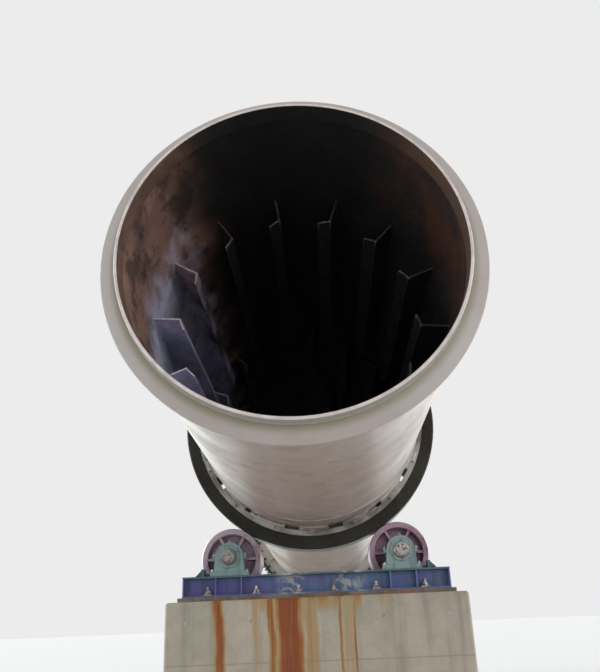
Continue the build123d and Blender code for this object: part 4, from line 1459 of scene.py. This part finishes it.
@dataclass(frozen=True)
class DrumPaint:
    """Finishes of the drum's own steel, from those of its outside and its inside."""

    outside: OutsidePaint = OutsidePaint()
    inside: InsideRust = InsideRust()
    collar: Triple = (0.375, 0.33, 0.32)
    lip: Triple = (0.27, 0.27, 0.235)
    # dark olive of the painted shade in the step at the lip's root
    root: Triple = (0.19, 0.175, 0.095)
    bare_edge: Triple = (0.62, 0.55, 0.53)
    bore_rust: Triple = (0.10, 0.055, 0.035)
    # bright tone of the worn flight ends, which also paints glints
    worn_end_glint: Triple = (0.68, 0.66, 0.64)
    edge_wear: Grain = Grain(7.0, 6.0, 0.7, (0.40, 0.60))
    flight_wear: Grain = Grain(18.0, 6.0, 0.65, (0.42, 0.60))
    shell_relief: float = 0.0016
    flight_relief: float = 0.0012
    ring_relief: float = 0.0014

    def shell(self) -> Material:
        """Material of the shell courses, painted outside and rusty inside.

        Returns:
            The material.
        """
        bench = Bench("shell_paint")
        place = bench.turned(DRUM.origin)
        out_colour, out_rough, out_height = self.outside.surface(bench, place)
        in_colour, in_rough, in_height = self.inside.surface(bench, place)
        inner = bench.radius(place).rise(SHELL_INNER + 0.006, SHELL_INNER + 0.002)
        rough = out_rough * (1.0 - inner) + in_rough * inner
        height = out_height * (1.0 - inner) + in_height * inner * 1.5
        return bench.finish(bench.mix(out_colour, in_colour, inner), rough, bench.bump(height, self.shell_relief))

    def flight(self) -> Material:
        """Material of the lifting flights: the inside's rust, painted shade that darkens them towards the right, and
        worn ends nearest to the mouth that are partly painted glints.

        Returns:
            The material.
        """
        bench = Bench("flight_steel")
        place = bench.turned(DRUM.origin)
        x, y, _ = bench.parts(place)
        colour, rough, height = self.inside.surface(bench, place)
        first = float(DRUM.extent("feed_lifting_flights")[0][1])
        wear = 0.4 + bench.grain(place, self.flight_wear) * 0.6
        lip = 0.30 + bench.radius(place).rise(FLIGHT_TIP + 0.025, FLIGHT_TIP) * 0.70
        # worn edges, brightest at the tips and at the ends nearest the mouth: partly wear, partly painted glints
        worn = bench.edges(0.008) * wear * lip * (0.10 + y.rise(first + 0.10, first + 0.02) * 0.90)
        # painted shade darkens the flights towards the right side; the worn ends carry the painted glints
        colour = bench.coats(colour, (self.inside.dark, x.rise(-0.6, 0.3) * 0.8), (self.worn_end_glint, worn))
        return bench.finish(colour, rough, bench.bump(height, self.flight_relief))

    def ring(self) -> Material:
        """Material of the end rings: bare bright lip, painted collar, rusty bore, and painted shade as a dark olive
        line at the lip's root.

        Returns:
            The material.
        """
        bench = Bench("ring_paint")
        place = bench.turned(DRUM.origin)
        _, y, z = bench.parts(place)
        radius, depth = bench.radius(place), END_PLACE - abs(y)
        colour, rough, height = self.outside.surface(bench, place)
        in_colour, in_rough, _ = self.inside.surface(bench, place)
        lip = radius.rise(LIP_OUTER + 0.004, LIP_OUTER - 0.002)
        # painted shade: a dark olive line in the step where the lip meets the collar
        root = abs(depth - LIP_DEPTH).rise(0.016, 0.003) * radius.rise(MOUTH_INNER + 0.012, LIP_OUTER - 0.002)
        front = depth.rise(0.010, 0.002) * (0.55 + bench.grain(place, self.edge_wear) * 0.45)
        bore = radius.rise(MOUTH_INNER + 0.0035, MOUTH_INNER + 0.001)
        # the bore is rust-brown low down and keeps the inside's colours, with their painted shade, at the top
        band = bench.mix(in_colour, self.bore_rust, z.rise(1.05, 0.55) * 0.7)
        colour = bench.coats(colour, (self.collar, 0.6), (self.lip, lip * 0.7), (self.root, root * 0.75),
                             (self.bare_edge, front), (band, bore))
        rough = rough * (1.0 - bore) + in_rough * bore
        return bench.finish(colour, rough, bench.bump(height, self.ring_relief))


@dataclass(frozen=True)
class WornSteel:
    """Bare or greased steel about an axis: a polished running face, dirty sides, rust between."""

    name: str
    base: Triple
    dirt: Triple
    rust: Triple
    bright: Triple = (0.30, 0.29, 0.28)
    metal: float = 0.75
    polish_from: float = 0.0
    polish_to: float = 0.0
    edge: float = 0.006
    grime: float = 0.6
    rust_share: float = 0.5
    shine: float = 0.5
    broad: Grain = Grain(2.4, 5.0, 0.6, (0.40, 0.62))
    fine: Grain = Grain(18.0, 6.0, 0.65, (0.42, 0.66))
    lines: Grain = Grain(1.0, 3.0, 0.5, stretch=(1.2, 90.0, 1.2))
    grit: Grain = Grain(90.0, 2.0, 0.5)
    relief: float = 0.0012

    def material(self, origin: Optional[Sequence[float]] = None) -> Material:
        """Make the material.

        Args:
            origin: Point that the piece's axis passes, or nothing for the drum's own axis.

        Returns:
            The material.
        """
        bench = Bench(self.name)
        place = bench.turned(DRUM.origin if origin is None else origin)
        broad, fine = bench.grain(place, self.broad), bench.grain(place, self.fine)
        rusty = (broad * 0.5 + fine * 0.6).rise(0.55, 0.85) * self.rust_share
        colour = bench.coats(self.base, (self.dirt, broad * self.grime), (self.rust, rusty))
        metal = self.metal * (1.0 - rusty) if self.metal else 0.0
        rough = 0.46 + broad * 0.16 + rusty * 0.3
        if self.polish_to:
            lines = bench.grain(place, self.lines)
            face = bench.radius(place).rise(self.polish_from, self.polish_to) * (0.65 + lines * 0.5)
            colour = bench.mix(colour, self.bright, face)
            metal = face.larger(metal)
            rough = rough * (1.0 - face * 0.5) + lines * 0.06
        worn = bench.edges(self.edge) * (0.35 + fine * 0.65)
        colour = bench.mix(colour, self.bright, worn * 0.8)
        rough = rough * (1.0 - worn * 0.35)
        height = fine * 0.6 + bench.grain(place, self.grit) * 0.2
        return bench.finish(colour, rough, bench.bump(height, self.relief), metal, shine=self.shine)


@dataclass(frozen=True)
class Spill:
    """Pale spilt patches on a base frame, about two places beside its middle."""

    tone: Triple = (0.38, 0.39, 0.37)
    middle: float = 0.045
    spread: float = 0.295
    patches: Grain = Grain(9.0, 5.0, 0.6, (0.47, 0.56))

    def share(self, bench: Bench, place: Wire, across: Wire) -> Wire:
        """Share of the patches, from the position and its part across the frame."""
        near = abs(abs(across - self.middle) - self.spread).rise(0.22, 0.05)
        return near * bench.grain(place, self.patches) * 0.8


@dataclass(frozen=True)
class MachinePaint:
    """Old machine paint on plate and castings: paler tops, chipped edges, rust, grime and oil."""

    name: str
    paint: Triple
    pale_tone: Triple
    chip: Triple = (0.16, 0.10, 0.075)
    grime: Triple = (0.035, 0.032, 0.03)
    dust: Triple = (0.36, 0.33, 0.28)
    spill: Optional[Spill] = None
    top: Triple = (0.045, 0.100, 0.080)
    top_place: Optional[float] = None  # height over the drum's axis from which the top shows
    edge: float = 0.008
    broad: Grain = Grain(1.8, 4.0, 0.6, (0.40, 0.64))
    mottle: Grain = Grain(9.0, 6.0, 0.65, (0.44, 0.66))
    runs: Grain = Grain(1.0, 5.0, 0.6, (0.48, 0.66), (14.0, 14.0, 1.2))
    scuffs: Grain = Grain(6.0, 8.0, 0.72, (0.665, 0.70))
    fine: Grain = Grain(45.0, 3.0, 0.5)
    relief: float = 0.0012

    def material(self) -> Material:
        """Material in the floor's coordinates.

        Returns:
            The material.
        """
        bench = Bench(self.name)
        place = bench.place()
        broad, mottle = bench.grain(place, self.broad), bench.grain(place, self.mottle)
        up = bench.upward()
        chips = bench.edges(self.edge).larger(bench.grain(place, self.scuffs)) * (0.25 + mottle * 0.75)
        colour = bench.coats(
            self.paint,
            # paler in patches and on the faces that look up
            (self.pale_tone, broad * 0.5 + up.rise(0.6, 0.95) * 0.55),
            (self.grime, bench.grain(place, self.runs) * (1.0 - up.rise(0.3, 0.8)) * 0.42),
            (self.dust, up.rise(0.55, 0.95) * mottle * 0.55),
            (self.chip, chips * 0.85))
        if self.top_place is not None:
            height = bench.parts(bench.turned(DRUM.origin))[2]
            colour = bench.mix(colour, self.top, height.rise(self.top_place - 0.002, self.top_place) * 0.75)
        if self.spill is not None:
            colour = bench.mix(colour, self.spill.tone, self.spill.share(bench, place, bench.parts(place)[0]))
        rough = 0.40 + broad * 0.12 + mottle * 0.14 + chips * 0.2
        height = mottle * 0.3 + bench.grain(place, self.fine) * 0.25 - chips * 0.6
        return bench.finish(colour, rough, bench.bump(height, self.relief))


@dataclass(frozen=True)
class RustRun:
    """One rust streak down the front face of the front pier: its middle, half width, strength and length."""

    place: float
    width: float
    strength: float
    length: float

    def mask(self, across: Wire, up: Wire) -> Wire:
        """Strength of the streak, from its place across the pier and the height."""
        core = abs(across - self.place).rise(self.width, self.width * 0.25)
        return core * up.rise(PIER_TOP - self.length, PIER_TOP - self.length * 0.3) * self.strength


@dataclass(frozen=True)
class CastConcrete:
    """Plain cast concrete with board marks, pores, damp stains and rust streaks from the frame above."""

    pale: Triple = (0.395, 0.350, 0.285)
    grey: Triple = (0.27, 0.25, 0.20)
    damp: Triple = (0.20, 0.185, 0.145)
    dark_rust: Triple = (0.085, 0.024, 0.009)
    rust: Triple = (0.200, 0.044, 0.009)
    pale_rust: Triple = (0.27, 0.108, 0.024)
    faint_rust: Triple = (0.320, 0.215, 0.095)
    lift: float = 0.62  # from one board mark to the next
    pores: float = 22.0
    runs: Tuple[RustRun, ...] = (RustRun(-0.98, 0.075, 0.90, 2.6), RustRun(-0.27, 0.180, 1.25, 2.8),
                                 RustRun(-0.45, 0.055, 0.75, 2.2), RustRun(-0.60, 0.07, 0.28, 1.0),
                                 RustRun(-0.06, 0.11, 0.42, 2.2), RustRun(0.235, 0.022, 0.66, 1.8),
                                 RustRun(0.375, 0.018, 0.70, 1.5), RustRun(0.31, 0.12, 0.26, 1.4))
    broad: Grain = Grain(0.9, 4.0, 0.6, (0.38, 0.66))
    mottle: Grain = Grain(6.0, 7.0, 0.65, (0.40, 0.68))
    wet: Grain = Grain(1.0, 6.0, 0.62, stretch=(7.0, 7.0, 0.35))
    porous: Grain = Grain(3.0, 2.0, span=(0.45, 0.6))
    wander: Grain = Grain(1.0, 3.0, 0.5, stretch=(0.5, 0.5, 2.2))
    streaks: Grain = Grain(1.0, 6.0, 0.65, (0.34, 0.60), (38.0, 38.0, 0.8))
    lines: Grain = Grain(1.0, 4.0, 0.6, (0.46, 0.60), (55.0, 55.0, 0.5))
    sand: Grain = Grain(70.0, 3.0, 0.6)
    relief: float = 0.0022

    def stain(self, bench: Bench, place: Wire, wet: Wire) -> Wire:
        """Strength of the rust, from the named streaks in front, a wash under the frame and streaks behind.

        Args:
            bench: Bench that takes the nodes.
            place: Position in the floor's coordinates.
            wet: Pattern of the damp runs.

        Returns:
            The strength, from 0 to a little over 1.
        """
        x, y, z = bench.parts(place)
        wander = x + (bench.grain(place, self.wander) - 0.5) * 0.10
        front = y.rise(PIER_FRONT + 0.25, PIER_FRONT + 0.05)
        streaks = bench.grain(place, self.streaks)
        stain = reduce(Wire.larger, [run.mask(wander, z) for run in self.runs]) * front
        other = wet.rise(0.585, 0.66) * z.rise(0.3, 1.3) * 0.55 * (1.0 - front)
        wash = z.rise(PIER_TOP - 0.20, PIER_TOP) * abs(x).rise(0.95, 0.35) * front * 0.5
        return (stain * (0.55 + streaks * 0.45)).larger(other * streaks).larger(wash * wet.rise(0.35, 0.60))

    def material(self) -> Material:
        """Material in the floor's coordinates.

        Returns:
            The material.
        """
        bench = Bench("pier_concrete")
        place = bench.place()
        broad, mottle = bench.grain(place, self.broad), bench.grain(place, self.mottle)
        wet = bench.grain(place, self.wet)
        seam = abs(bench.math("FRACT", bench.parts(place)[2] / self.lift) - 0.5).rise(0.488, 0.496)
        pores = bench.cells(place, self.pores).rise(0.16, 0.08) * bench.grain(place, self.porous)
        stain = self.stain(bench, place, wet)
        colour = bench.coats(
            self.pale,
            (self.grey, broad * 0.6 + mottle * 0.3),
            (self.damp, wet.rise(0.50, 0.70) * 0.5),
            (self.damp, (seam * 0.5).larger(pores * 0.7)),
            (self.faint_rust, stain.rise(0.02, 0.30) * 0.85),
            (self.pale_rust, stain.rise(0.30, 0.60) * 0.9),
            (self.rust, stain.rise(0.55, 0.90) * 0.95),
            (self.dark_rust, stain.rise(0.60, 1.0) * bench.grain(place, self.lines) * 0.55))
        height = mottle * 0.4 + bench.grain(place, self.sand) * 0.25 - pores - seam * 0.8
        return bench.finish(colour, 0.82 + mottle * 0.1 - stain * 0.1, bench.bump(height, self.relief))


@dataclass(frozen=True)
class CementGrout:
    """Green-grey grout bed, patchy and chipped, with rust runs."""

    light: Triple = (0.190, 0.168, 0.138)
    dark: Triple = (0.095, 0.084, 0.064)
    rust: Triple = (0.28, 0.12, 0.06)
    name: str = "grout_bed"
    patches: Grain = Grain(5.0, 6.0, 0.65, (0.38, 0.66))
    runs: Grain = Grain(1.0, 5.0, 0.6, (0.52, 0.66), (12.0, 12.0, 1.0))
    sand: Grain = Grain(40.0, 4.0, 0.6)
    relief: float = 0.004

    def material(self) -> Material:
        """Material in the floor's coordinates.

        Returns:
            The material.
        """
        bench = Bench(self.name)
        place = bench.place()
        patches = bench.grain(place, self.patches)
        colour = bench.coats(self.light, (self.dark, patches), (self.rust, bench.grain(place, self.runs) * 0.8))
        height = patches * 0.5 + bench.grain(place, self.sand) * 0.4
        return bench.finish(colour, 0.86 + patches * 0.08, bench.bump(height, self.relief))


@dataclass(frozen=True)
class OilGlass:
    """Dark oil behind a glossy sight glass."""

    oil: Triple = (0.10, 0.055, 0.012)
    stain: Triple = (0.04, 0.03, 0.02)
    smears: Grain = Grain(40.0, 3.0, 0.5, (0.45, 0.65))

    def material(self) -> Material:
        """Material in the floor's coordinates.

        Returns:
            The material.
        """
        bench = Bench("oil_glass")
        smears = bench.grain(bench.place(), self.smears)
        return bench.finish(bench.mix(self.oil, self.stain, smears), 0.08 + smears * 0.2, coat=0.5)


@dataclass(frozen=True)
class FastenerSteel:
    """Dull steel of small fasteners, which has rusted in spots over a share of it."""

    name: str
    colour: Triple
    rust: Triple
    share: float
    pits: Grain = Grain(160.0, 3.0, 0.5)
    relief: float = 0.0004

    def material(self) -> Material:
        """Material in the floor's coordinates.

        Returns:
            The material.
        """
        bench = Bench(self.name)
        place = bench.place()
        spots = bench.grain(place, Grain(30.0, 5.0, 0.65, (0.62 - self.share * 0.3, 0.72 - self.share * 0.2)))
        return bench.finish(bench.mix(self.colour, self.rust, spots), 0.38 + spots * 0.4,
                            bench.bump(bench.grain(place, self.pits), self.relief), 1.0 - spots)


class Paints:
    """All finishes of the dryer, and which node of the frame has which."""

    blue: Tuple[Triple, Triple] = ((0.092, 0.096, 0.300), (0.066, 0.172, 0.230))
    # painted light: the left rollers take a lighter copy of the roller steel and the right rollers a darker one
    roller_tones_lit_and_shaded: Dict[Side, Tuple[Triple, Triple]] = {
        Side.LEFT: ((0.41, 0.325, 0.375), (0.27, 0.205, 0.24)),
        Side.RIGHT: ((0.335, 0.215, 0.28), (0.185, 0.118, 0.152))}

    def __init__(self) -> None:
        """Make the finishes that nodes and new pieces have in common."""
        drum = DrumPaint()
        self.shell, self.ring, self.flight = drum.shell(), drum.ring(), drum.flight()
        self.bearing = MachinePaint("bearing_paint", (0.165, 0.255, 0.25), (0.25, 0.345, 0.34)).material()
        self.drive = MachinePaint("drive_paint", (0.155, 0.21, 0.195), (0.26, 0.33, 0.31)).material()
        self.frame = MachinePaint("frame_paint", *self.blue).material()
        self.plated = FastenerSteel("plated_steel", (0.30, 0.29, 0.27), (0.13, 0.055, 0.03), 0.5).material()
        self.rusty = FastenerSteel("rusty_steel", (0.17, 0.14, 0.12), (0.15, 0.055, 0.025), 0.9).material()
        self.black = FastenerSteel("black_wire", (0.05, 0.05, 0.05), (0.10, 0.05, 0.03), 0.3).material()
        self.mortar = CementGrout(light=(0.36, 0.35, 0.31), dark=(0.24, 0.23, 0.20), name="tie_mortar").material()
        self.glass = OilGlass().material()

    def support_roller(self, roller: SupportRoller) -> Material:
        """Finish of one support roller, lighter on the left and darker on the right as painted light.

        Args:
            roller: The roller.

        Returns:
            Its material, about its own axis.
        """
        base, dirt = self.roller_tones_lit_and_shaded[roller.side]
        rim = roller.rim()
        steel = WornSteel(roller.place + "_roller_steel", base, dirt, (0.24, 0.08, 0.09), bright=(0.45, 0.40, 0.43),
                          metal=0.12, polish_from=rim - 0.012, polish_to=rim - 0.002, edge=0.007)
        return steel.material(roller.origin())

    def of_nodes(self) -> Dict[str, Material]:
        """Finish of each node of the frame.

        Returns:
            Finishes by word. A node takes the first one whose word its name holds.
        """
        tyre_rim, gear_rim = DRUM.reach("front_tyre")[1], DRUM.reach("girth_gear")[1]
        shaft = WornSteel("shaft_steel", (0.30, 0.29, 0.28), (0.06, 0.055, 0.05), (0.14, 0.06, 0.03),
                          metal=1.0, edge=0.003, rust_share=0.25, grime=0.5).material()
        gear = WornSteel("gear_steel", (0.08, 0.075, 0.07), (0.010, 0.009, 0.008), (0.10, 0.04, 0.02),
                         polish_from=gear_rim - 0.06, polish_to=gear_rim - 0.01, rust_share=0.3).material()
        tyre = WornSteel("tyre_steel", (0.017, 0.0165, 0.012), (0.008, 0.008, 0.006), (0.06, 0.026, 0.013),
                         metal=0.12, polish_from=tyre_rim - 0.004, polish_to=tyre_rim - 0.001,
                         shine=0.28).material()
        pad = WornSteel("pad_steel", (0.36, 0.34, 0.30), (0.07, 0.065, 0.055), (0.13, 0.06, 0.03),
                        metal=0.0, edge=0.004, grime=0.75, rust_share=0.35).material()
        base = MachinePaint("base_frame_paint", *self.blue, spill=Spill(), top_place=FRAME_TOP - 0.019).material()
        concrete = CastConcrete().material()
        rollers = [SupportRoller(end, side) for end in End for side in Side]
        return {**{roller.place + "_roller": self.support_roller(roller) for roller in rollers},
                "thrust_rollers": shaft, "flights": self.flight, "pads": pad, "guard": self.frame,
                "carrier": self.shell, "girth_gear": gear, "coupling": shaft, "gearbox": self.drive,
                "motor": self.drive, "housing": self.frame, "plinth": concrete, "tyre_course": self.shell,
                "shell": self.shell, "_ring": self.ring, "tyre": tyre, "bearings": self.bearing,
                "base_frame": base, "drive_frame": self.frame, "grout": CementGrout().material(),
                "pier": concrete, "shaft": shaft}

    def dress_frame(self) -> None:
        """Give every node of the frame its finish."""
        finishes = self.of_nodes()
        for name, node in frame["nodes"].items():
            node.data.materials.clear()
            node.data.materials.append(next(finish for word, finish in finishes.items() if word in name))


@dataclass(frozen=True)
class Viewpoint:
    """Camera of the photograph, from the fitted outlines of the mouth, the collar and the tyre."""

    focal_pixels: float = 713.6
    long_side: float = 672.0
    sensor: float = 36.0
    far_end: float = 500.0
    pitch: float = 23.207
    roll: float = -2.289
    yaw: float = -1.375
    from_mouth: Triple = (0.1235, -4.0024, -2.3518)

    def build(self) -> None:
        """Make the camera, whose turn is stated in the drum's coordinates."""
        pitch, roll, yaw = (math.radians(angle) for angle in (self.pitch, self.roll, self.yaw))
        forward = np.array([math.sin(yaw) * math.cos(pitch), math.cos(yaw) * math.cos(pitch), math.sin(pitch)])
        level = np.array([math.cos(yaw), -math.sin(yaw), 0.0])
        upright = np.cross(level, forward)
        right = math.cos(roll) * level + math.sin(roll) * upright
        up = math.cos(roll) * upright - math.sin(roll) * level
        matrix = np.eye(4)
        matrix[:3, :3] = DRUM.turn() @ np.column_stack([right, up, -forward])
        matrix[:3, 3] = DRUM.to_floor(np.array([0.0, -END_PLACE, 0.0]) + self.from_mouth)
        camera = bpy.data.cameras.new("camera")
        camera.sensor_width = self.sensor
        camera.lens = self.sensor * self.focal_pixels / self.long_side
        camera.clip_end = self.far_end
        holder = bpy.data.objects.new("camera", camera)
        holder.matrix_world = Matrix(matrix.tolist())
        bpy.context.scene.collection.objects.link(holder)
        bpy.context.scene.camera = holder


@dataclass(frozen=True)
class Sun:
    """Soft lamp that shines from a direction, with the angle that it seems wide in degrees."""

    name: str
    direction: Triple
    strength: float
    spread: float
    tone: Triple = (1.0, 1.0, 1.0)

    def build(self) -> None:
        """Make the lamp."""
        lamp = bpy.data.lights.new(self.name, "SUN")
        lamp.energy, lamp.angle, lamp.color = self.strength, math.radians(self.spread), self.tone
        holder = bpy.data.objects.new(self.name, lamp)
        holder.rotation_mode = "QUATERNION"
        holder.rotation_quaternion = Vector(self.direction).to_track_quat("Z", "Y")
        bpy.context.scene.collection.objects.link(holder)


@dataclass(frozen=True)
class Stage:
    """Pale floor, pale surroundings, soft lamps and the camera."""

    floor_radius: float = 220.0
    floor_sides: int = 96
    floor_tone: Triple = (0.72, 0.72, 0.71)
    sky_tone: Triple = (0.84, 0.84, 0.84)
    sky_strength: float = 0.50
    suns: Tuple[Sun, ...] = (Sun("left_sun", (-1.0, -0.05, 0.16), 2.9, 64.0, COOL),
                             Sun("right_sun", (1.0, 0.05, 0.16), 2.3, 64.0, WARM),
                             Sun("front_sun", (0.50, -0.86, 0.06), 0.85, 40.0),
                             Sun("left_back_sun", (-0.75, 0.75, 0.14), 2.2, 80.0, COOL),
                             Sun("right_back_sun", (0.75, 0.75, 0.14), 1.4, 80.0, WARM))

    def build(self) -> None:
        """Make the stage round the object."""
        Viewpoint().build()
        self.floor()
        self.world()
        for sun in self.suns:
            sun.build()
        bpy.context.scene.view_settings.view_transform = "Standard"

    def floor(self) -> None:
        """Wide round floor at height nought: (r cos a, r sin a, 0)."""
        points = ring_z(self.floor_radius, 0.0, around(self.floor_sides))
        mesh = bpy.data.meshes.new("floor")
        mesh.from_pydata(points.tolist(), [], [list(range(self.floor_sides))])
        mesh.materials.append(Bench("floor_tone").finish(self.floor_tone, 0.9))
        floor = bpy.data.objects.new("floor", mesh)
        bpy.context.scene.collection.objects.link(floor)

    def world(self) -> None:
        """Even light from all round, and a pale background for the camera, reflections and glass."""
        world = bpy.data.worlds.new("studio")
        bpy.context.scene.world = world
        world.use_nodes = True
        bench = NodeBench(world.node_tree)
        light = bench.tree.nodes["Background"]
        bench.feed(light, {"Color": (1.0, 1.0, 1.0, 1.0), "Strength": self.sky_strength})
        seen = bench.add("ShaderNodeBackground", {}, {"Color": (*self.sky_tone, 1.0)})
        camera = bench.add("ShaderNodeLightPath", {}, {}, "Is Camera Ray")
        shown = reduce(Wire.larger, [camera.output(ray) for ray in ("Is Glossy Ray", "Is Transmission Ray")], camera)
        mixed = bench.add("ShaderNodeMixShader", {}, {0: shown, 1: Wire(bench, light.outputs[0]), 2: seen})
        bench.feed(bench.tree.nodes["World Output"], {"Surface": mixed})


def main() -> None:
    """Dress the frame, add the pieces of each sub-assembly, and set the stage."""
    logging.basicConfig(level=logging.INFO, format="%(name)s %(message)s")
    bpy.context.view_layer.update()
    paints = Paints()
    paints.dress_frame()
    for assembly in (DrumWelds(), GearFasteners(), SupportStation(End.FRONT), SupportStation(End.REAR),
                     ThrustRollers(), DriveTrain()):
        for piece in assembly.pieces(paints):
            made = piece.make()
            logger.info("%s: %d faces on %s", piece.name, len(made.data.polygons), piece.body)
    Stage().build()


if __name__ == "__main__":
    main()
